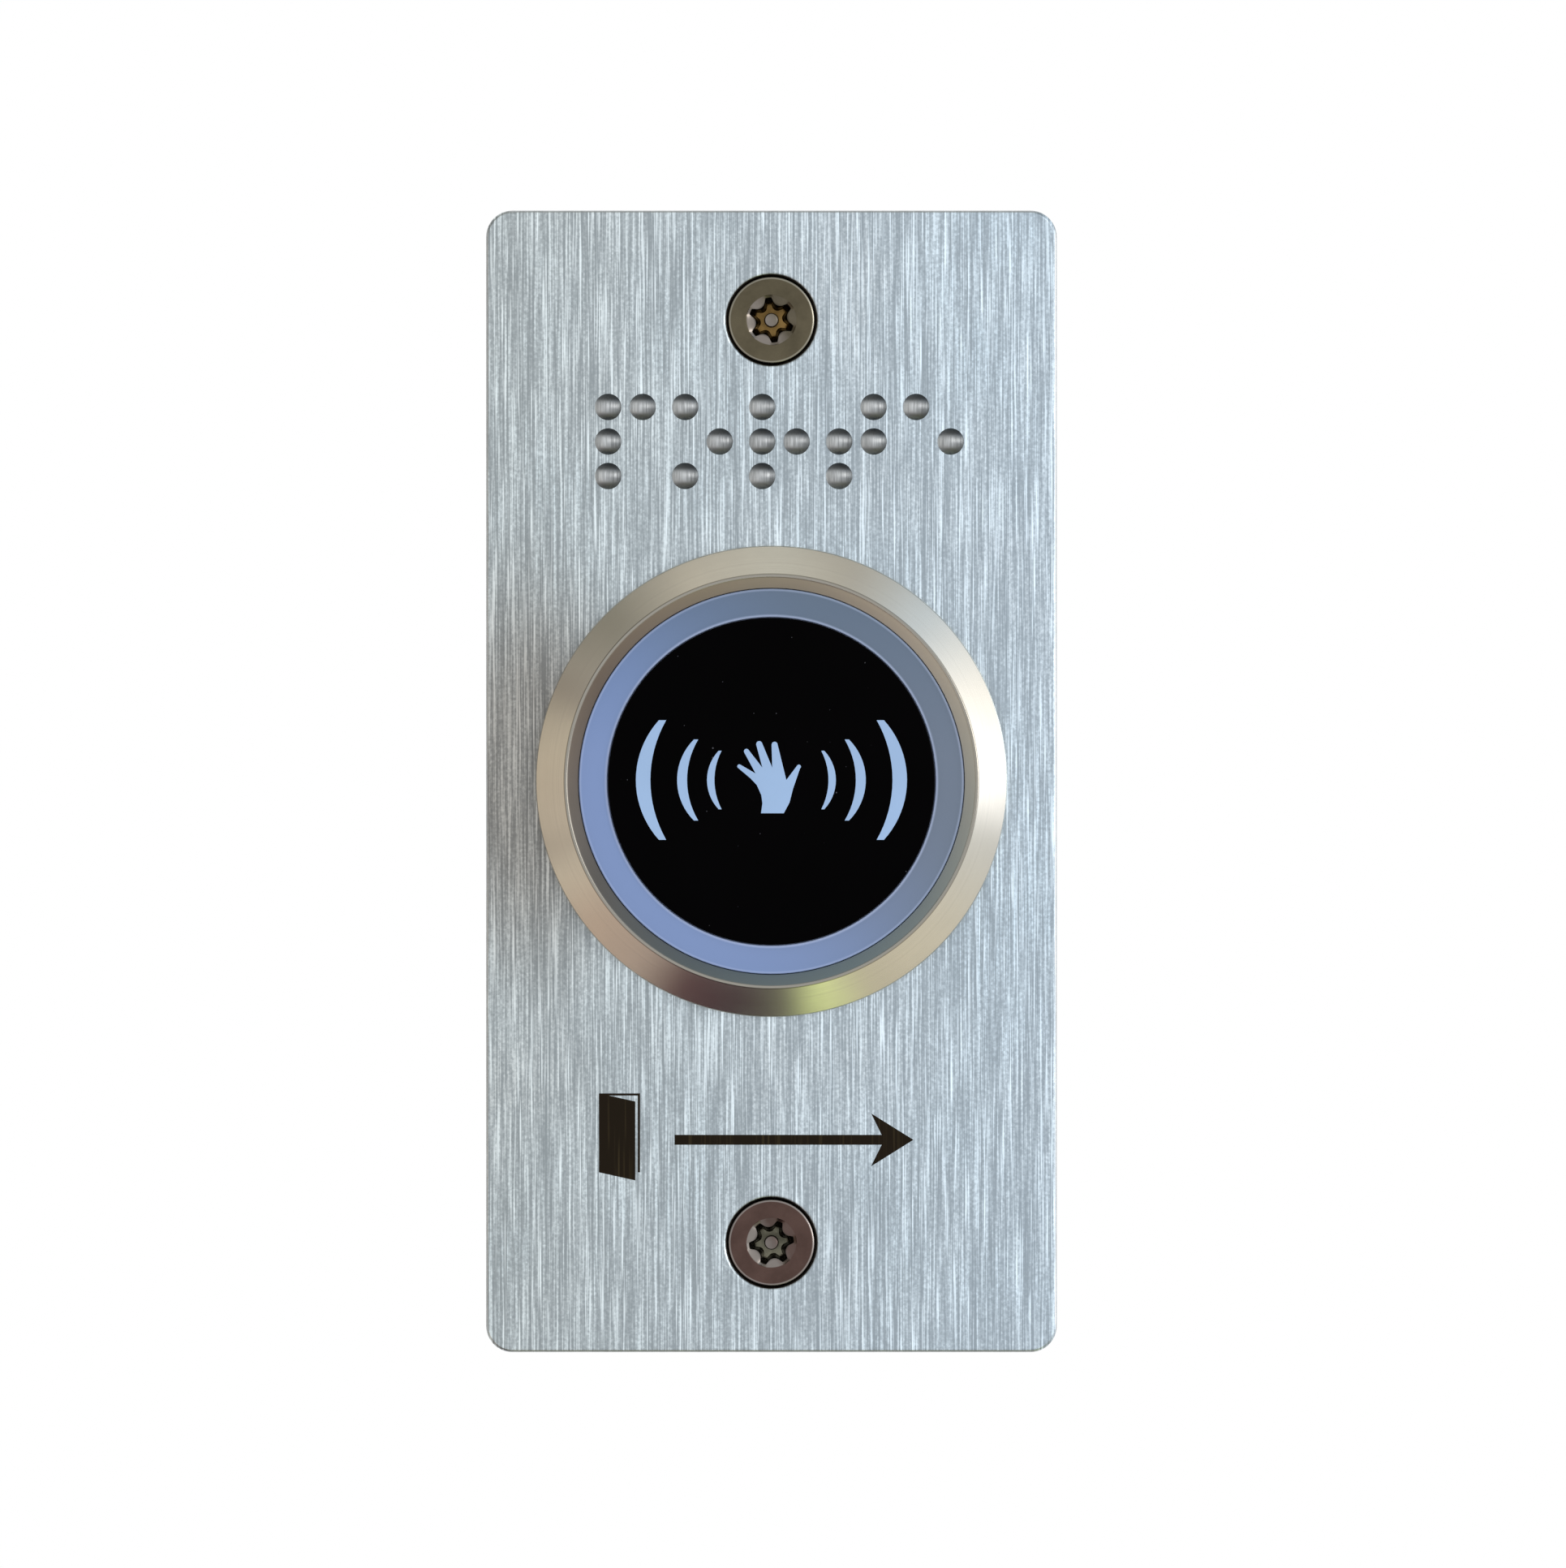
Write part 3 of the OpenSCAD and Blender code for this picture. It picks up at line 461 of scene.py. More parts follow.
def plastic(name, colour, roughness=0.35, grain=0.08, depth=0.003, mottle=0.12, **extra):
    # moulded plastic or paint: a fine skin texture and a slight change of shade
    f = Finish(name)
    fine = f.noise((1000 / grain,) * 3, detail=1.5)
    slow = f.noise((220, 220, 220), detail=2, offset=(2, 6, 1))
    low = tuple(c * (1 - mottle) for c in colour)
    f.set(Base_Color=f.blend(f.spread(slow, 0.35, 0.65), low, colour), Metallic=0.0)
    f.set(Roughness=f.spread(fine, 0.3, 0.7, roughness * 0.85, roughness * 1.15))
    f.set(**extra)
    f.bump(fine, depth, 0.6)
    return f


print("material makers ready")


plate = dict(
    edge=0.28, holeEdge=0.1, corner=2, screwUp=34.75, hole=4.2,
    hair=0.045, hairLength=2.6, line=0.07, lineLength=5, band=0.2, bandLength=12, grain=0.0893,
    grainLength=0.1, scratch=0.06, scratchLength=3.4, range=0.125, curve=2.0, grooveDepth=0.005,
    roughness=(0.28, 0.42), anisotropy=0.6,
    dark=(0.285, 0.312, 0.324), light=(0.69, 0.76, 0.78), lightWarm=(0.69, 0.72, 0.715),
    # the side tints paint the steel lighter and bluer to the right, and the shade tint paints a shadow left
    # of the head
    shine=(0.92, 0.98, 0.99), leftPaintedShade=(0.95, 0.96, 0.95), rightPaintedLight=(1.04, 1.12, 1.21),
    shadeTint=(0.60, 0.54, 0.49), shadeAt=(-18.5, 0.5), shadeSize=(10.5, 21),
    # the sink tone is painted shade on the countersinks' walls
    sinkShadeTone=(0.035, 0.03, 0.025), plain=(0.56, 0.58, 0.59), plainDark=(0.46, 0.48, 0.49),
)


def cornerPoints(mesh):
    # where each face corner is, seen from the front, in metres
    corners = np.zeros(len(mesh.loops), np.int32)
    mesh.loops.foreach_get("vertex_index", corners)
    return meshPoints(mesh)[corners][:, [0, 2]]


def addBrushing(piece):
    # a UV map whose u runs across and whose v runs up, so that gloss spreads across the brushing
    layer = piece.data.uv_layers.new(name="brushing")
    layer.data.foreach_set("uv", cornerPoints(piece.data).ravel() * 10)


def makePlate():
    high = nodeBox("face_plate")[1]
    corner = plate["corner"]

    def weights(a, b):
        # edges that run round the outline get the whole rounding, the screw holes' edges less
        def onOutline(p):
            across, up = np.abs(p[:, 0]), np.abs(p[:, 2])
            inward = np.minimum(high[0] - across, high[1] - up)
            turn = np.hypot(np.maximum(across - high[0] + corner, 0),
                            np.maximum(up - high[1] + corner, 0))
            return (inward < 0.01) | (np.abs(turn - corner) < 0.02)

        level = np.abs(a[:, 1] - b[:, 1]) < 0.01
        front = level & (np.abs(a[:, 1] + high[2]) < 0.01)
        outline = level & onOutline(a) & onOutline(b)
        nearScrew = np.hypot(a[:, 0], np.abs(a[:, 2]) - plate["screwUp"]) < plate["hole"]
        hole = front & ~outline & nearScrew
        return np.where(outline, 1.0, np.where(hole, plate["holeEdge"] / plate["edge"], 0.0))

    piece = edged("facePlate", "face_plate", width=plate["edge"], segments=4,
                  weights=weights)
    for face in piece.data.polygons:                # the front and the back are truly flat
        face.use_smooth = abs(face.normal.y) < 0.999
    addBrushing(piece)
    brushedPlate("brushed plate steel", plate).on(piece)
    return piece


facePlate = makePlate()
print("plate:", len(facePlate.data.polygons), "faces")


dots = dict(
    radius=1.0, height=0.6, shank=0.6, pitch=2.6, cell=5.8,
    cells=((1, 2, 3, 4), (1, 3, 5), (1, 2, 3, 5), (2, 3, 4, 5), (1, 5)),
    # upper and lower are painted shade on each dot's top and bottom, and band is a painted highlight across
    # its middle
    upper=(0.105, 0.11, 0.115), lower=(0.20, 0.21, 0.212), band=(0.46, 0.475, 0.48),
    left=(1.7, 1.7, 1.7), right=(0.5, 0.5, 0.5),     # evens out the light on the two sides
)


def makeDots():
    # each dome is a ball's cap: radius = R sin t, out = top - R (1 - cos t), on a plain shank
    low, high = nodeBox("braille_pins")
    r, h = dots["radius"], dots["height"]
    ball = (r * r + h * h) / (2 * h)
    t = np.linspace(0, np.arcsin(r / ball), 16)
    shank = dots["shank"]
    cap = np.stack([ball * np.sin(t), high[2] - ball * (1 - np.cos(t))], axis=1)
    profile = np.concatenate([cap, [[shank, high[2] - h], [shank, 0.1], [shank - 0.1, 0], [0, 0]]])
    places = []
    for column, cell in enumerate(dots["cells"]):
        for dot in cell:
            across = low[0] + r + column * dots["cell"] + (dots["pitch"] if dot > 3 else 0)
            places.append((across, high[1] - r - (dot - 1) % 3 * dots["pitch"]))
    piece = makePiece("brailleDots", [turned(profile, centre, 40) for centre in places],
                      node="braille_pins", smoothAngle=50)
    addBrushing(piece)
    addSpots(piece, np.array(places), r)
    dotSteel().on(piece)
    return piece


def addSpots(piece, places, reach):
    # a UV map whose u and v run from -1 to 1 over each dot
    points = cornerPoints(piece.data) / mm
    nearest = np.argmin(np.linalg.norm(points[:, None] - places[None], axis=2), axis=1)
    layer = piece.data.uv_layers.new(name="spot")
    layer.data.foreach_set("uv", ((points - places[nearest]) / reach).astype(np.float32).ravel())


def dotSteel():
    # painted light and shade: a painted highlight band lies across the middle of each dot, with hairs that
    # run up it, and painted shade lies above and below it
    f = Finish("dot steel with painted band")
    u, v = f.parts(f.node("ShaderNodeUVMap", uv_map="spot").outputs[0])[:2]
    hairs = f.noise((7500, 300, 500), detail=2)
    wander = f.math("MULTIPLY_ADD", hairs, 0.3, f.math("SUBTRACT", f.math("ABSOLUTE", v), 0.15))
    tone = f.spread(wander, 0.24, 0.68, 1.0, 0.0, smooth=True)
    edge = f.blend(f.spread(v, -0.2, 0.2), dots["lower"], dots["upper"])
    band = f.blend(f.spread(hairs, 0.35, 0.65), tuple(c * 0.62 for c in dots["band"]), dots["band"])
    level = f.blend(f.spread(u, -0.95, 0.95), dots["left"], dots["right"])
    f.set(Metallic=1.0, Base_Color=f.blend(1.0, f.blend(tone, edge, band), level, "MULTIPLY"))
    f.set(Roughness=f.spread(hairs, 0.3, 0.7, 0.55, 0.45))
    f.brushed(0.85)
    f.bump(hairs, 0.004, 0.7)
    return f


brailleDots = makeDots()
print("braille dots:", len(brailleDots.data.polygons), "faces")


screw = dict(
    head=3.25, neck=1.525, thread=1.75, pitch=0.6, depth=0.3, count=96,
    recess=3.35, scallopOut=0.53, scallopR=0.18, dish=3.9, floor=1.3, pin=0.5, pinTop=0.15,
    shankTone=(0.45, 0.44, 0.42), ringGap=0.09,
    # in each look, wall is painted shade on the recess's walls, darkest in the top screw, and dish is a
    # painted highlight on one side of the dish
    top=dict(turn=38, face=(0.115, 0.097, 0.062), recess=(0.22, 0.135, 0.045),
             wall=(0.010, 0.007, 0.004), dish=(0.26, 0.23, 0.21), edge=(0.36, 0.34, 0.28)),
    bottom=dict(turn=8, face=(0.098, 0.060, 0.050), recess=(0.19, 0.18, 0.13),
                wall=(0.045, 0.04, 0.032), dish=(0.26, 0.24, 0.22), edge=(0.36, 0.33, 0.31)),
)


def lobeRadius(angle, size):
    # a circle with six scallops taken out of it: the ray at each angle stops at the nearer of the two
    away = size * screw["scallopOut"]
    scallop = size * screw["scallopR"]
    off = (angle % (pi / 3)) - pi / 6
    inside = np.maximum(scallop ** 2 - (away * np.sin(off)) ** 2, 0)
    ray = np.where(inside > 0, away * np.cos(off) - np.sqrt(inside), size)
    return np.minimum(ray, size / 2)


def makeScrew(name, up, turn):
    # rings of points from the pin's middle, down into the recess, over the head and along the thread
    low, high = nodeBox("mounting_screws")
    face, tip, count = high[2], low[2], screw["count"]
    lobe = lobeRadius(roundAngles(count), screw["recess"])
    bottom, pinTop = face - screw["floor"], face - screw["pinTop"]
    pinR, head, neck, dish = screw["pin"], screw["head"], screw["neck"], screw["dish"] / 2
    pin = [(0, pinTop), (pinR * 0.7, pinTop), (pinR * 0.93, pinTop - 0.04), (pinR, pinTop - 0.12),
           (pinR, bottom + 0.05), (pinR + 0.05, bottom)]
    # the recess widens a little from its floor to its mouth
    rise = [0, 0, 0.06, 0.5, screw["floor"] - 0.22, screw["floor"] - 0.14]
    wall = (lobe * np.array([[0.50, 0.69, 0.75, 0.82, 0.98, 1.02]]), bottom + np.array([rise]))
    # the shallow dish leads from the lobes' outline to a circle
    lip = (lobe * np.array([[0.3, 0]]) + (dish - 0.05) * np.array([[0.7, 1]]) + np.array([[0.02, 0]]),
           face - np.array([[0.075, 0.008]]) + 0 * lobe)
    rim = [(dish + 0.06, face), (2.5, face), (3.0, face), (3.12, face - 0.008), (head - 0.05, face - 0.04),
           (head, face - 0.11), (head, face - 0.17), (head - 0.05, face - 0.23),
           (neck + 0.06, 0.16), (neck, 0.08)]
    shank = threaded(screw["thread"], screw["depth"], screw["pitch"], -0.12, tip + 0.5, count=count,
                     fade=1.5)
    end = [(screw["thread"] - 0.32, tip + 0.08), (screw["thread"] - 0.42, tip), (0, tip)]
    skin = stacked([pin, wall, lip, rim, shank, end], count)
    return makePiece(name, [shaped(*skin, (0, up), radians(turn))], node="mounting_screws",
                     smoothAngle=38)


def screwMetal(name, up, look):
    # the head's face, the recess's floor and walls and the head's edge differ in colour; the recess's walls
    # carry painted shade and one side of the dish a painted highlight
    f = Finish(name)
    radius = f.radius((0, up))
    x, y, z = f.axes()
    fine = f.math("MULTIPLY", radius, 1000 / screw["ringGap"])
    rings = f.noise(None, detail=2, vector=f.along(fine, 0.0, 0.0))
    haze = f.noise((420, 420, 420), detail=4, roughness=0.6)
    # the recess lies between the pin and the dish, behind the dish's own floor
    inside = f.math("MULTIPLY", f.within(radius, 1.72, 0.02), f.within(y, -0.6, 0.1))
    inside = f.math("MULTIPLY", inside, f.beyond(radius, screw["pin"], 0.06))
    inside = f.math("MULTIPLY", inside, f.beyond(y, -1.88, 0.04))
    floorTone = f.blend(f.spread(haze, 0.35, 0.65), look["recess"], tuple(c * 0.45 for c in look["recess"]))
    # painted shade: the recess's walls are painted near black above its floor
    recessShadeTone = f.blend(f.beyond(y, -0.82, 0.08), look["wall"], floorTone)
    metal = f.blend(f.spread(haze, 0.4, 0.7), look["face"], tuple(c * 0.72 for c in look["face"]))
    metal = f.blend(f.math("MULTIPLY", f.beyond(radius, 3.06, 0.08), 0.7), metal, look["edge"])
    # painted highlight: one side of the dish is painted lighter
    dish = f.math("MULTIPLY", f.beyond(y, -1.99, 0.02),
                  f.spread(radius, 1.9 * mm, 1.94 * mm, 0.75, 0.0))
    paintedDishHighlight = f.math("MULTIPLY_ADD", haze, 1.5 * mm, f.math("MULTIPLY_ADD", z, 0.6, x))
    paintedDishHighlight = f.spread(paintedDishHighlight, (0.6 * up + 0.2) * mm, (0.6 * up + 1.6) * mm, 1.0, 0.12)
    metal = f.blend(f.math("MULTIPLY", dish, paintedDishHighlight), metal, look["dish"])
    metal = f.blend(inside, metal, recessShadeTone)
    metal = f.blend(f.beyond(y, -0.14, 0.08), metal, screw["shankTone"])
    f.set(Metallic=1.0, Base_Color=metal, Roughness=f.spread(haze, 0.3, 0.7, 0.24, 0.42))
    f.bump(rings, 0.0025, 0.7)
    return f


topScrew = makeScrew("topScrew", plate["screwUp"], screw["top"]["turn"])
bottomScrew = makeScrew("bottomScrew", -plate["screwUp"], screw["bottom"]["turn"])
screwMetal("top screw steel", plate["screwUp"], screw["top"]).on(topScrew)
screwMetal("bottom screw steel", -plate["screwUp"], screw["bottom"]).on(bottomScrew)
print("fixing screws:", len(topScrew.data.polygons) * 2, "faces")


bezel = dict(
    count=160, front=2.0, seat=14.55, bore=13.5, barrel=15.0, groove=(15.675, 17.075, 1.0), pitch=1.0,
    depth=0.42, colour=(0.80, 0.755, 0.67), line=0.05, contrast=0.86, roughness=(0.17, 0.27),
    # the four throat side colours paint light and shade on the throat's wall, and the lip tone paints shade
    # on the lip
    grooveDepth=0.0016, throat=15.42, throatRoughness=0.42, throatLeftShade=(0.22, 0.24, 0.235),
    throatRightLight=(0.74, 0.95, 1.0), throatLowShade=(0.47, 0.46, 0.46), throatHighLight=(1.16, 0.81, 0.63),
    lip=15.6, lipShade=(0.31, 0.29, 0.25),
)


def makeBezel():
    # bezel and threaded barrel are one skin round the axis; only the helix isn't round
    low, high = nodeBox("bezel_ring")
    count, rim, lip, front, end = bezel["count"], high[0], high[2], bezel["front"], low[2]
    bore, seatR, barrel = bezel["bore"], bezel["seat"], bezel["barrel"]
    inner, outer, deep = bezel["groove"]
    seat = softened([(bore, end + 0.3), (bore, 2.6), (seatR, 2.6), (seatR, 3.8), (15.4, lip),
                     (15.55, lip), (rim, 2.8), (rim, front), (outer, front)],
                    [0, 0.05, 0.04, 0.05, 0.05, 0.05, 0.14, 0.05, 0], 5)
    groove = [(outer, front), (outer, front + deep), (inner, front + deep), (inner, front),
              (barrel, front), (barrel, 0.1)]
    helix = threaded(barrel, bezel["depth"], bezel["pitch"], 0.0, end + 0.45, count=count, fade=1.2)
    foot = [(seatR, end + 0.12), (seatR - 0.15, end), (bore + 0.15, end), (bore, end + 0.15),
            (bore, end + 0.3)]
    skin = stacked([seat, groove, helix, foot], count)
    piece = makePiece("bezelRing", [shaped(*skin)], node="bezel_ring", smoothAngle=30)
    turnedMetal("turned ring metal", bezel).on(piece)
    return piece


bezelRing = makeBezel()
print("bezel and barrel:", len(bezelRing.data.polygons), "faces")


seal = dict(count=120, around=14)


def makeFlangeSeal():
    # a torus: radius = middle + section * cos b, out = level + section * sin b
    low, high = nodeBox("flange_seal")
    section = (high[2] - low[2]) / 2
    b = roundAngles(seal["around"])[:, 0]
    level = (low[2] + high[2]) / 2
    profile = np.stack([high[0] - section + section * np.cos(b), level + section * np.sin(b)], axis=1)
    return makePiece("flangeSeal", [turned(profile, count=seal["count"])], node="flange_seal",
                     smoothAngle=180)


flangeSeal = makeFlangeSeal()
lensSeal = edged("lensSeal", "lens_seal", width=0.05, segments=2)
plastic("seal rubber", (0.02, 0.02, 0.022), 0.6, grain=0.15, depth=0.006).on(flangeSeal, lensSeal)


nut = dict(flats=18.0, count=168, face=17.75, slope=0.36, pitch=1.0, depth=0.36, bore=15.02, lead=0.35)


def makeNut():
    # hexagon radius = flats / cos(angle from the flat's middle); a cone joins it to a round face,
    # so the corner at each angle lies (hexagon - face) * slope below that face
    low, high = nodeBox("clamp_nut")
    count, face, bore, lead, depth = (nut[key] for key in ("count", "face", "bore", "lead", "depth"))
    hexagon = nut["flats"] / np.cos((roundAngles(count) % (pi / 3)) - pi / 6)
    drop = (hexagon - face) * nut["slope"]
    top, bottom = high[2], low[2]
    start = [(bore + lead, top)]
    radius, out = threaded(bore + depth, depth, nut["pitch"], bottom + lead, top - lead, count=count,
                           fade=0.8)
    inside = (2 * bore + depth - radius, out)
    parts = [start, [(face, top)], (hexagon, top - drop), (hexagon, bottom + drop), [(face, bottom)],
             [(bore + lead, bottom)], inside, start]
    piece = makePiece("clampNut", [shaped(*stacked(parts, count))], node="clamp_nut",
                      smoothAngle=28)
    plainMetal("plated nut metal", (0.68, 0.66, 0.62), 0.26, grain=0.25, depth=0.003).on(piece)
    return piece


makeNut()
washer = edged("lockWasher", "lock_washer", width=0.12, segments=3)
plainMetal("washer steel", (0.60, 0.60, 0.60), 0.34, grain=0.2, depth=0.004).on(washer)
print("nut and washer done")


lens = dict(
    # the ring's colour and its cool tone paint light and shade across it, the top tint paints shade on its
    # top, and the rim colour paints highlights along its edges
    window=12.3, outer=14.5, front=4.0, capEdge=0.1, windowEdge=0.07, colour=(0.17, 0.25, 0.47),
    cool=(0.123, 0.16, 0.225), rim=(0.50, 0.60, 0.86), topShade=(0.74, 0.84, 0.90), glow=0.05,
    black=(0.0004, 0.0003, 0.0004), dust=(0.22, 0.22, 0.26),
)


def milkyRing():
    # painted light and shade: lighter and bluer low on the left, darker and greyer to the upper right and
    # darker still at the top, with painted highlights along both of the ring's edges
    f = Finish("milky light ring")
    radius = f.radius()
    x, y, z = f.axes()
    sway = f.noise((55, 55, 55), detail=2)
    side = f.math("MULTIPLY_ADD", x, 38.0, f.math("MULTIPLY", z, 26.0))
    tone = f.spread(f.math("MULTIPLY_ADD", sway, 0.25, side), -0.42, 0.62, smooth=True)
    milk = f.blend(tone, lens["colour"], lens["cool"])
    top = f.blend(f.beyond(z, 2, 11), (1, 1, 1), lens["topShade"])
    milk = f.blend(1.0, milk, top, "MULTIPLY")
    # painted highlights along both of the ring's edges
    innerEdgeHighlight = f.within(radius, lens["window"] + 0.12, 0.18)
    outerEdgeHighlight = f.beyond(radius, lens["outer"] - 0.22, 0.12)
    glow = f.math("MULTIPLY_ADD", innerEdgeHighlight, 0.6, f.math("MULTIPLY", outerEdgeHighlight, 0.3))
    milk = f.blend(glow, milk, lens["rim"])
    f.set(Base_Color=milk, Roughness=0.33, Emission_Color=milk, Emission_Strength=lens["glow"])
    f.bump(f.noise((9000, 9000, 9000), detail=1), 0.002, 0.5)
    return f


def smokedWindow():
    # almost black, with a few specks of dust
    f = Finish("black window")
    speck = f.spread(f.noise((4200, 4200, 4200), detail=0), 0.855, 0.885)
    slow = f.noise((90, 90, 90), detail=2)
    base = f.blend(f.spread(slow, 0.3, 0.7), lens["black"], tuple(c * 1.8 for c in lens["black"]))
    f.set(Base_Color=f.blend(f.math("MULTIPLY", speck, 0.3), base, lens["dust"]), Roughness=0.25)
    f.set(Specular_IOR_Level=0.015)
    f.bump(slow, 0.004, 0.3)
    return f


def windowEdge(a, b):
    # picks the edges round the window's front, and not those of the inlays
    def onRim(p):
        level = np.abs(p[:, 1] + lens["front"]) < 0.01
        return level & (np.hypot(p[:, 0], p[:, 2]) > lens["window"] - 0.02)

    return (onRim(a) & onRim(b)).astype(float)


diffuserCap = edged("diffuserCap", "diffuser_cap", width=lens["capEdge"], angle=50)
blackWindow = edged("blackWindow", "black_window", width=lens["windowEdge"],
                    weights=windowEdge)
milkyRing().on(diffuserCap)
smokedWindow().on(blackWindow)


def enamel():
    # dark, with the plate's brushing just showing through
    f = Finish("dark enamel")
    lines = f.noise((5200, 300, 120), detail=2)
    colour = f.blend(f.spread(lines, 0.55, 0.8), (0.0085, 0.0045, 0.0006), (0.035, 0.025, 0.010))
    f.set(Base_Color=colour, Roughness=0.55, Specular_IOR_Level=0.1)
    f.bump(lines, 0.004, 0.6)
    return f


plastic("lit symbol", (0.29, 0.43, 0.66), 0.45, grain=0.2, depth=0.001, mottle=0.05,
        Emission_Color=(0.34, 0.52, 0.80, 1), Emission_Strength=0.05
        ).on(nodes["hand_symbol"], nodes["wave_symbols"])
enamel().on(nodes["door_pictogram"], nodes["arrow_pictogram"])
print("lens group and pictograms done")


boards = dict(sensorFront=-4.0, sensorBack=-5.6, relayFront=-18.5, relayBack=-20.1, edge=0.06)
optics = dict(radius=1.5, lead=0.225, leadAcross=0.65, count=40)


def makeOptic(name, node):
    # a domed body: radius = r cos t and out = shoulder + r sin t, with two square leads
    low, high = nodeBox(node)
    middle = ((low[0] + high[0]) / 2, (low[1] + high[1]) / 2)
    r, board = optics["radius"], boards["sensorFront"]
    t = np.linspace(pi / 2, 0, 10)
    dome = r * 0.93
    cap = np.stack([dome * np.cos(t), high[2] - r + r * np.sin(t)], axis=1)
    flange = [[dome, board + 0.9], [r, board + 0.85], [r, board + 0.05], [r - 0.05, board], [0, board]]
    body = np.concatenate([cap, flange])
    surfaces = [turned(body, middle, optics["count"])]
    top, half = board + 0.02, optics["lead"]
    for side in (-1, 1):
        across = middle[0] + side * optics["leadAcross"]
        surfaces.append(squarePost(across, middle[1], [low[2], low[2], top, top], [0, half, half, 0]))
    return makePiece(name, surfaces, node=node, smoothAngle=45)


irEmitter = makeOptic("irEmitter", "ir_emitter")
irReceiver = makeOptic("irReceiver", "ir_receiver")
plastic("clear epoxy", (0.62, 0.64, 0.72), 0.08, depth=0.0005, Coat_Weight=0.5).on(irEmitter)
plastic("dark epoxy", (0.012, 0.008, 0.02), 0.08, depth=0.0005, Coat_Weight=0.5).on(irReceiver)


def circuitBoard(name, colour, copper, pitch):
    # tracks show through the lacquer as a lighter green: bands of a squared-off noise field
    f = Finish(name)
    runs = f.noise((430, 1, 430), detail=0)
    track = f.math("ABSOLUTE", f.math("SUBTRACT", f.math("FRACT", f.math("MULTIPLY", runs, pitch)), 0.5))
    lines = f.spread(track, 0.30, 0.34)
    weave = f.noise((2500, 2500, 2500), detail=2)
    edge = f.beyond(f.radius(), 12.95, 0.1)
    lacquer = f.blend(lines, colour, copper)
    f.set(Base_Color=f.blend(edge, lacquer, (0.30, 0.27, 0.13)))
    f.set(Roughness=f.spread(weave, 0.3, 0.7, 0.3, 0.45))
    f.bump(f.math("MULTIPLY_ADD", lines, 1.0, f.math("MULTIPLY", weave, 0.15)), 0.02, 0.8)
    return f


sensorBoard = edged("sensorBoard", "sensor_board", width=boards["edge"], segments=2)
relayBoard = edged("relayBoard", "relay_board", width=boards["edge"], segments=2)
greenBoard = circuitBoard("green circuit board", (0.010, 0.085, 0.030), (0.030, 0.17, 0.06), 7.0)
greenBoard.on(sensorBoard, relayBoard)


header = dict(up=-6, pins=np.arange(-6.25, 6.3, 2.5), half=0.32, tip=0.35)
joints = dict(radius=0.85, height=0.55, count=18, linkAcross=-7.8, linkUps=(3.0, 4.5, 6.0, 7.5),
              leadUp=-5.9, leads=(-4.05, -2.75, 2.75, 4.05), large=0.8, small=0.62)


def makeSolderJoints():
    # each joint is a hollow-sided cone: radius = r * (1 - s)^1.7 + 0.3 s, out = board + h s
    s = np.linspace(0, 1, 7)
    large, small, link = joints["large"], joints["small"], joints["linkAcross"]
    places = [(x, header["up"], boards["relayFront"], 1, large) for x in header["pins"]]
    places += [(link, y, boards["relayBack"], -1, large) for y in joints["linkUps"]]
    places += [(link, y, boards["sensorFront"], 1, large) for y in joints["linkUps"]]
    places += [(x, joints["leadUp"], boards["sensorBack"], -1, small) for x in joints["leads"]]
    surfaces = []
    for across, up, board, way, scale in places:
        radius = scale * (joints["radius"] * (1 - s) ** 1.7 + 0.3 * s)
        profile = np.stack([radius, board + way * (joints["height"] * s - 0.01)], axis=1)
        profile = np.concatenate([[[0, profile[0, 1]]], profile, [[0, profile[-1, 1] + way * 0.03]]])
        surfaces.append(turned(profile, (across, up), joints["count"]))
    return makePiece("solderJoints", surfaces, smoothAngle=60)


solderJoints = makeSolderJoints()
plainMetal("solder", (0.62, 0.62, 0.60), 0.2, depth=0.004).on(solderJoints)


def makeHeaderPins():
    # square posts that shrink at both tips
    low, high = (corner[2] for corner in nodeBox("header_pins"))
    outs = [low, low, low + header["tip"], high - header["tip"], high, high]
    halves = np.array([0, 0.45, 1, 1, 0.45, 0]) * header["half"]
    surfaces = [squarePost(across, header["up"], outs, halves) for across in header["pins"]]
    return makePiece("headerPins", surfaces, node="header_pins", smoothAngle=20)


headerPins = makeHeaderPins()


coil = dict(turns=13, ripple=0.13, core=1.95, gap=0.02, count=48)


def makeCoil():
    # the winding bulges once a turn: radius = r - ripple * (1 - |sin|)
    low, high = nodeBox("relay_coil")
    bottom, top, core = low[2] + coil["gap"], high[2] - coil["gap"], coil["core"]
    s = np.linspace(0, 1, coil["turns"] * 8 + 1)
    radius = high[0] - coil["ripple"] * (1 - np.abs(np.sin(pi * coil["turns"] * s)))
    winding = np.stack([radius, bottom + (top - bottom) * s], axis=1)
    profile = np.concatenate([[[core, bottom]], winding, [[core, top]], [[core, bottom]]])
    return makePiece("relayCoil", [turned(profile, count=coil["count"])], node="relay_coil",
                     smoothAngle=70)


relayCoil = makeCoil()
plainMetal("enamelled copper", (0.70, 0.27, 0.10), 0.28, depth=0.002).on(relayCoil)


capacitor = dict(count=56, neck=0.22, neckUp=1.1)


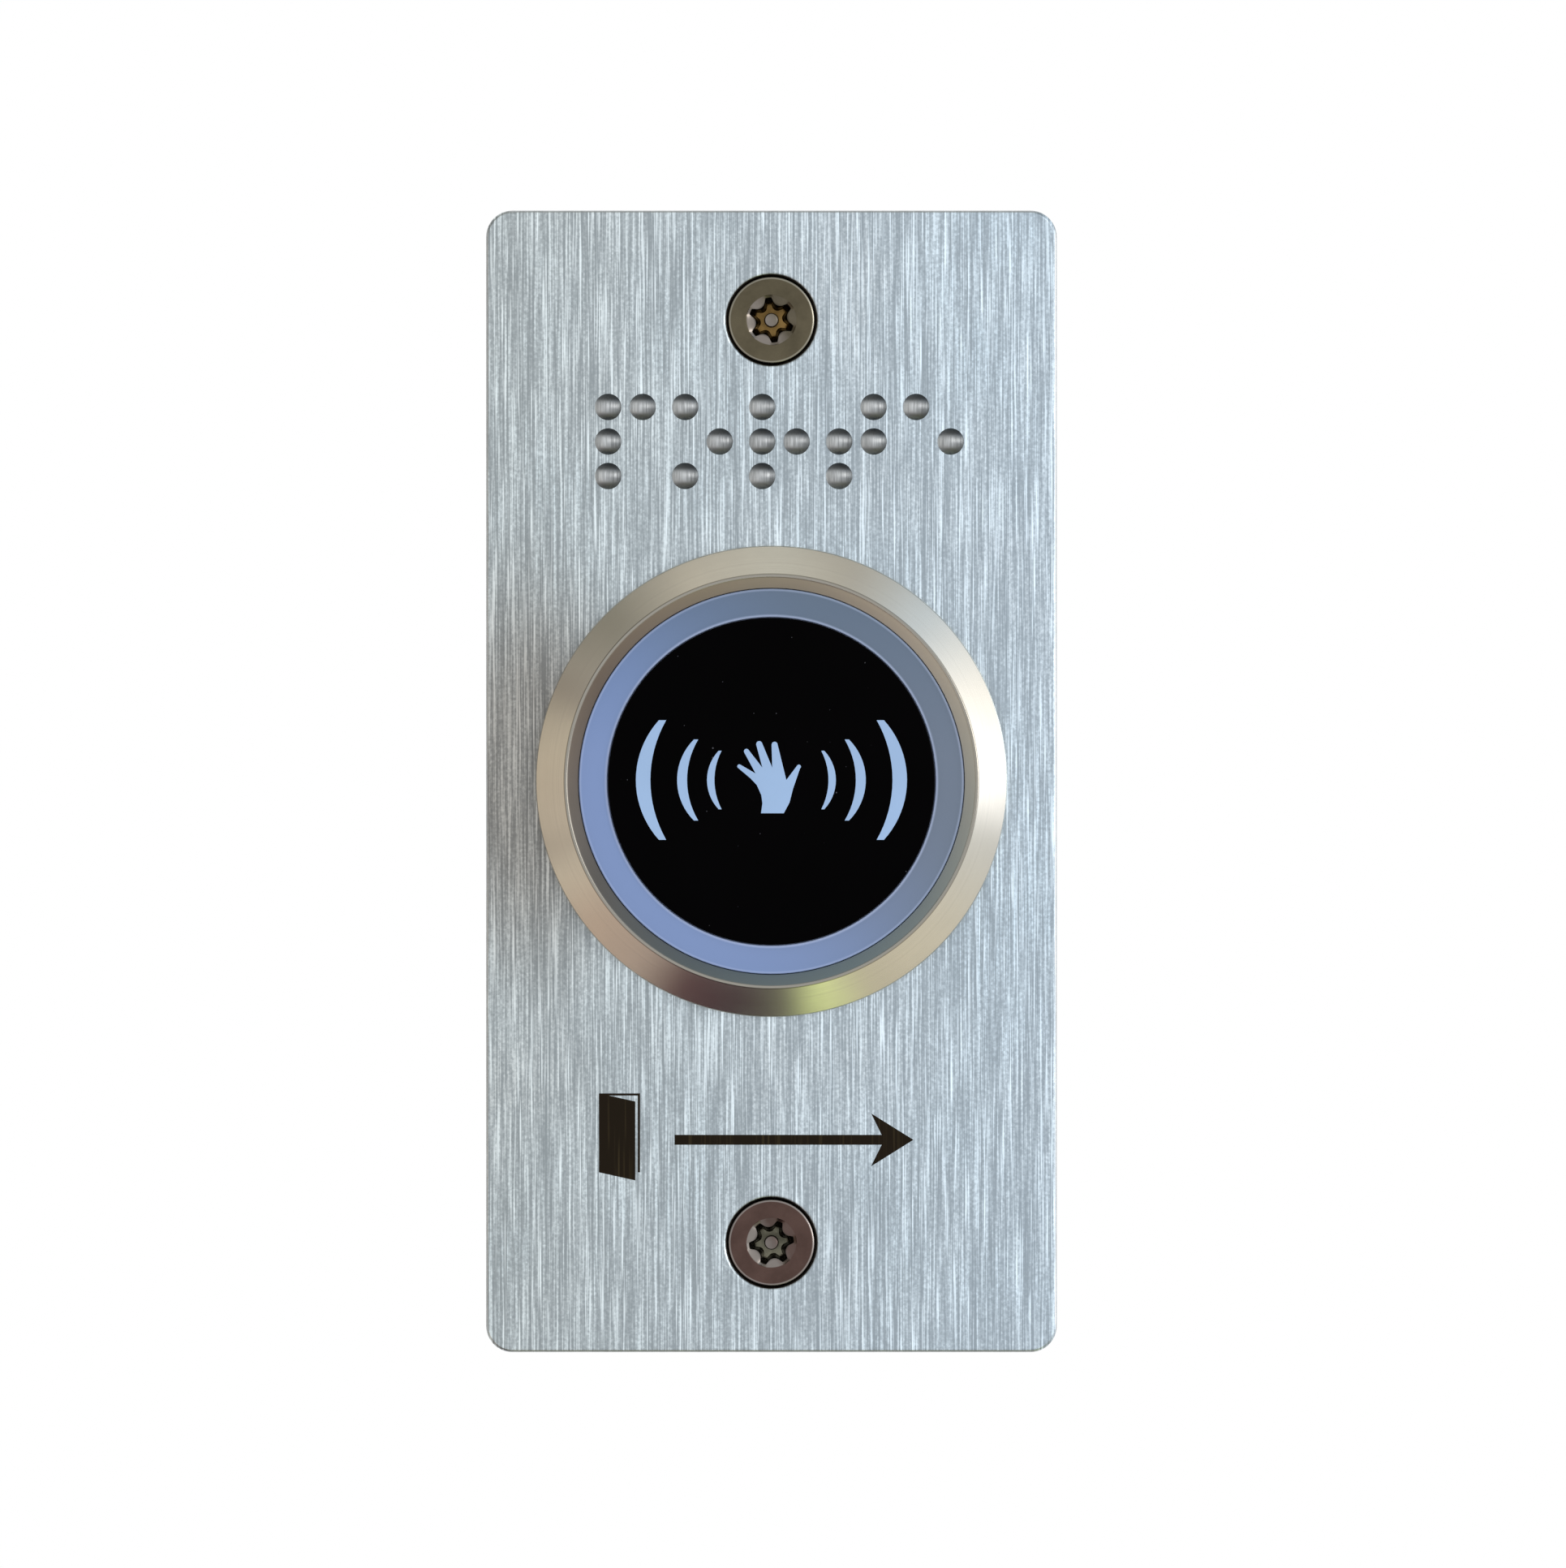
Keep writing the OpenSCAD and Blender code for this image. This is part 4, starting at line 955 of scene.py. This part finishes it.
def makeCapacitor():
    # a can with a rolled neck near the board and a rounded shoulder
    low, high = nodeBox("surge_capacitor")
    middle = ((low[0] + high[0]) / 2, (low[1] + high[1]) / 2)
    r, foot, top = (high[0] - low[0]) / 2, low[2], high[2]
    up, neck = capacitor["neckUp"], capacitor["neck"]
    profile = softened([(0, foot), (r - 0.2, foot), (r, foot + 0.2), (r, foot + up - 0.3),
                        (r - neck, foot + up), (r, foot + up + 0.3), (r, top), (r - 0.25, top),
                        (r - 0.3, top - 0.12), (0, top - 0.12)],
                       [0, 0.1, 0.2, 0.15, 0.2, 0.15, 0.25, 0.08, 0.05, 0], 5)
    piece = makePiece("surgeCapacitor", [turned(profile, middle, capacitor["count"])],
                      node="surge_capacitor", smoothAngle=40)
    sleeveFinish(middle, r - 0.25).on(piece)
    return piece


def sleeveFinish(middle, canR):
    # a printed sleeve with a pale stripe; the bare can shows on the lid
    f = Finish("capacitor sleeve")
    x, y, z = f.axes()
    lid = f.within(y, 11.66, 0.02)
    can = f.math("MULTIPLY", lid, f.within(f.radius(middle), canR - 0.03, 0.03))
    sleeve = f.blend(f.beyond(x, 10.15, 0.05), (0.010, 0.012, 0.03), (0.35, 0.36, 0.40))
    f.set(Base_Color=f.blend(can, sleeve, (0.6, 0.6, 0.6)), Metallic=can, Roughness=0.32)
    f.bump(f.noise((3000, 3000, 3000)), 0.002, 0.5)
    return f


makeCapacitor()


# the rest keeps its CAD shape, with its edges rounded: node, edge radius, slot
keptShapes = dict(
    opticShroud=("optic_shroud", 0.1, "black_plastic"),
    statusLeds=("status_leds", 0.08, "led_white"),
    controllerChip=("controller_chip", 0.05, "chip_black"),
    chipComponents=("chip_components", 0.06, "chip_tan"),
    boardScrews=("board_screws", 0.1, "small_screw"),
    boardStandoffs=("board_standoffs", 0.12, "standoff_brass"),
    linkRail=("board_link_pins", 0.04, "gold_pin"),
    relayBase=("relay_base", 0.12, "relay_plastic"),
    relayCover=("relay_cover", 0.28, "relay_plastic"),
    relayYoke=("relay_yoke", 0.1, "soft_iron"),
    relayCore=("relay_core", 0.08, "soft_iron"),
    relayBobbin=("relay_bobbin", 0.06, "bobbin_plastic"),
    relayArmature=("relay_armature", 0.1, "soft_iron"),
    contactSpring=("relay_contact_spring", 0.03, "contact_copper"),
    fixedContacts=("relay_fixed_contacts", 0.05, "contact_copper"),
    returnSpring=("relay_return_spring", 0.03, "spring_steel"),
    relayPins=("relay_pins", 0.05, "gold_pin"),
    flybackDiode=("flyback_diode", 0.1, "chip_black"),
    voltageRegulator=("voltage_regulator", 0.05, "chip_black"),
    rearCover=("rear_cover", 0.25, "black_plastic"),
    wiringHeader=("wiring_header", 0.12, "header_nylon"),
    trimmerBody=("trimmer_body", 0.14, "trimmer_blue"),
    trimmerRotor=("trimmer_rotor", 0.08, "rotor_white"),
    modeSwitchBody=("mode_switch_body", 0.12, "switch_red"),
    coverScrews=("cover_screws", 0.14, "small_screw"),
)
movingBodies = dict(relayArmature="armature", contactSpring="armature", trimmerRotor="rotor")
# the rounding's steps where a piece is seen from behind; the ones inside have two
edgeSteps = dict(rearCover=3, wiringHeader=3, trimmerBody=3, trimmerRotor=3, modeSwitchBody=3, coverScrews=4)
kept = {}
for name, (node, edge, slot) in keptShapes.items():
    kept[name] = edged(name, node, movingBodies.get(name, "head"), edge, edgeSteps.get(name, 2))


def on(finish, *names):
    finish.on(*(kept[name] for name in names))


def moulded():
    # black epoxy with the matt, fine grain of a moulded package
    f = Finish("epoxy black")
    fine = f.noise((6000, 6000, 6000), detail=1)
    f.set(Base_Color=f.blend(f.spread(fine, 0.3, 0.7), (0.013, 0.013, 0.014), (0.03, 0.03, 0.032)))
    f.set(Roughness=0.55)
    f.bump(fine, 0.006, 0.8)
    return f


on(plastic("black shroud", (0.012, 0.012, 0.013), 0.5, depth=0.006), "opticShroud")
on(plastic("white led", (0.85, 0.84, 0.76), 0.3), "statusLeds")
on(plastic("relay blue", (0.02, 0.09, 0.30), 0.3, depth=0.004), "relayBase", "relayCover")
on(plastic("bobbin ivory", (0.70, 0.64, 0.50), 0.4), "relayBobbin")
on(plastic("ceramic tan", (0.33, 0.20, 0.10), 0.5, mottle=0.3), "chipComponents")
on(moulded(), "controllerChip", "flybackDiode", "voltageRegulator")
on(plainMetal("brass", (0.78, 0.58, 0.25), 0.25), "boardStandoffs")
on(plainMetal("soft iron", (0.50, 0.49, 0.47), 0.36, depth=0.004), "relayYoke", "relayCore",
   "relayArmature")
on(plainMetal("contact copper", (0.82, 0.47, 0.28), 0.22), "contactSpring", "fixedContacts")
on(plainMetal("spring steel", (0.58, 0.58, 0.57), 0.24), "returnSpring")
on(plainMetal("small screw steel", (0.62, 0.62, 0.62), 0.24), "boardScrews")
goldPlate = plainMetal("gold plate", (0.86, 0.66, 0.28), 0.2).on(headerPins)
on(goldPlate, "relayPins", "linkRail")
print("boards and relay done")

on(plastic("black cover plastic", (0.022, 0.022, 0.024), 0.45, grain=0.16, depth=0.012, mottle=0.2),
   "rearCover")
on(plastic("header nylon", (0.78, 0.74, 0.64), 0.4, grain=0.1, depth=0.004), "wiringHeader")
on(plastic("trimmer blue", (0.02, 0.13, 0.44), 0.33), "trimmerBody")
on(plastic("rotor white", (0.80, 0.79, 0.74), 0.35), "trimmerRotor")
on(plastic("switch red", (0.52, 0.022, 0.018), 0.36), "modeSwitchBody")
on(plainMetal("cover screw steel", (0.60, 0.60, 0.59), 0.24), "coverScrews")


slider = dict(ridges=3, ridge=0.12, edge=0.1, shoulder=0.08)


def makeSlider(name, node, body):
    # top face out = level + ridge * (1 - |sin|) along its length, skirts run straight down
    low, high = nodeBox(node)
    edge = slider["edge"]
    across = np.array([low[0], low[0] + edge, high[0] - edge, high[0]])
    up = np.linspace(low[1], high[1], 25)
    s = (up - low[1]) / (high[1] - low[1])
    lift = slider["ridge"] * (1 - np.abs(np.sin(pi * slider["ridges"] * s)))
    a, b = np.meshgrid(across, up, indexing="ij")
    out = np.broadcast_to(low[2] + lift, a.shape).copy()      # the sliders look backwards
    out[[0, -1]] += slider["shoulder"]
    top = np.stack([a, b, out], axis=-1)
    base = top.copy()
    base[..., 2] = high[2]

    def outline(grid):
        return np.concatenate([grid[0, :-1], grid[:-1, -1], grid[-1, :0:-1], grid[:0:-1, 0]])

    side = surface(np.stack([outline(top), outline(base)]), closed=True)
    return makePiece(name, [surface(top), surface(base), side], body, node, 30)


slideWhite = plastic("slider white", (0.80, 0.80, 0.77), 0.35)
for number in ("1", "2"):
    slideWhite.on(makeSlider("modeSlider" + number, "mode_slider_" + number, "slider_" + number))
print("rear pieces done")


studio = dict(
    floorDrop=100, floorFront=-180, floorBack=700, floorSide=700, floorColour=(0.86, 0.86, 0.86),
    fill=0.92, keyPower=3.2, keySize=0.5, keyColour=(1, 0.985, 0.96), keyAt=(0.80, -0.66, 0.16),
    front=(1.0, 1.02, 1.05), back=(0.95, 0.95, 0.96),
    sides={  # degrees anticlockwise from the right, colour
        -180: (0.58, 0.51, 0.42), -168: (0.62, 0.55, 0.46), -163: (0.42, 0.37, 0.32),
        -158: (0.68, 0.62, 0.52), -142: (0.58, 0.46, 0.38), -124: (0.47, 0.385, 0.34),
        -115: (0.115, 0.062, 0.068), -98: (0.062, 0.038, 0.047), -86: (0.14, 0.14, 0.12),
        -76: (0.95, 1.10, 0.52), -66: (0.62, 0.58, 0.46), -40: (0.76, 0.73, 0.63),
        -14: (0.72, 0.75, 0.77), 0: (1.75, 1.80, 1.9), 22: (1.35, 1.36, 1.36), 46: (0.68, 0.80, 0.93),
        68: (0.50, 0.49, 0.45), 88: (0.64, 0.65, 0.61), 112: (0.58, 0.56, 0.50),
        134: (0.25, 0.245, 0.21), 150: (0.37, 0.35, 0.31), 157: (0.27, 0.24, 0.21),
        164: (0.56, 0.51, 0.42), 180: (0.58, 0.51, 0.42),
    },
)


def makeFloor():
    # seen from below it lets everything through, so a low viewpoint isn't blocked; the metal
    # reflects the room and not the floor
    z = -studio["floorDrop"] * mm
    x, y0, y1 = studio["floorSide"] * mm, studio["floorFront"] * mm, studio["floorBack"] * mm
    mesh = bpy.data.meshes.new("floor")
    mesh.from_pydata([(-x, y0, z), (x, y0, z), (x, y1, z), (-x, y1, z)], [], [(0, 1, 2, 3)])
    floor = bpy.data.objects.new("floor", mesh)
    bpy.context.scene.collection.objects.link(floor)
    f = Finish("pale floor")
    speck = f.noise((40, 40, 40), detail=2)
    low = tuple(c * 0.985 for c in studio["floorColour"])
    f.set(Base_Color=f.blend(speck, low, studio["floorColour"]), Roughness=0.8)
    back = f.node("ShaderNodeNewGeometry").outputs["Backfacing"]
    glossy = f.node("ShaderNodeLightPath").outputs["Is Glossy Ray"]
    clear = f.node("ShaderNodeBsdfTransparent").outputs[0]
    surfaceMix = f.either(f.math("MAXIMUM", back, glossy), f.shader.outputs[0], clear)
    f.feed(f.tree.nodes["Material Output"].inputs["Surface"], surfaceMix)
    f.on(floor)


def makeWorld():
    # rays from the eye meet plain white; reflections meet a soft room that is white in front
    # and varies round the sides, which is what gives turned metal its sectors
    world = bpy.data.worlds.new("studio")
    bpy.context.scene.world = world
    world.use_nodes = True
    g = Graph(world.node_tree)
    g.tree.nodes.clear()

    def light(colour, strength=1.0):
        made = g.node("ShaderNodeBackground")
        g.feed(made.inputs[0], colour)
        g.feed(made.inputs[1], strength)
        return made.outputs[0]

    x, y, z = g.parts(g.node("ShaderNodeTexCoord").outputs["Generated"])
    turn = g.math("DIVIDE", g.math("ADD", g.math("ARCTAN2", z, x), pi), 2 * pi)
    ramp = g.node("ShaderNodeValToRGB")
    g.feed(ramp.inputs[0], turn)
    band = ramp.color_ramp
    while len(band.elements) > 1:
        band.elements.remove(band.elements[-1])
    for index, (degrees, colour) in enumerate(studio["sides"].items()):
        stop = band.elements[0] if index == 0 else band.elements.new((degrees + 180) / 360)
        stop.position = (degrees + 180) / 360
        stop.color = (*colour, 1)
    toFront = g.spread(g.math("MULTIPLY", y, -1.0), 0.30, 0.75, smooth=True)
    toBack = g.spread(y, 0.1, 0.5, smooth=True)
    room = g.blend(toFront, ramp.outputs[0], studio["front"])
    room = g.blend(toBack, room, studio["back"])
    rays = g.node("ShaderNodeLightPath").outputs
    white = (1, 1, 1, 1)
    unseen = g.either(rays["Is Glossy Ray"], light(white, studio["fill"]), light(room))
    plain = g.math("MAXIMUM", rays["Is Camera Ray"], rays["Is Transmission Ray"])
    g.feed(g.node("ShaderNodeOutputWorld").inputs[0], g.either(plain, unseen, light(white)))


def makeKey():
    data = bpy.data.lights.new("softKey", "AREA")
    data.shape = "DISK"
    data.size = studio["keySize"]
    data.energy = studio["keyPower"]
    data.color = studio["keyColour"]
    lamp = bpy.data.objects.new("softKey", data)
    lamp.location = studio["keyAt"]
    bpy.context.scene.collection.objects.link(lamp)
    x, y, z = -np.array(lamp.location)              # it looks at the origin
    lamp.rotation_euler = (np.arctan2(np.hypot(x, y), -z), 0, np.arctan2(y, x) - pi / 2)


makeFloor()
makeWorld()
makeKey()
print("floor, room and lamp ready")
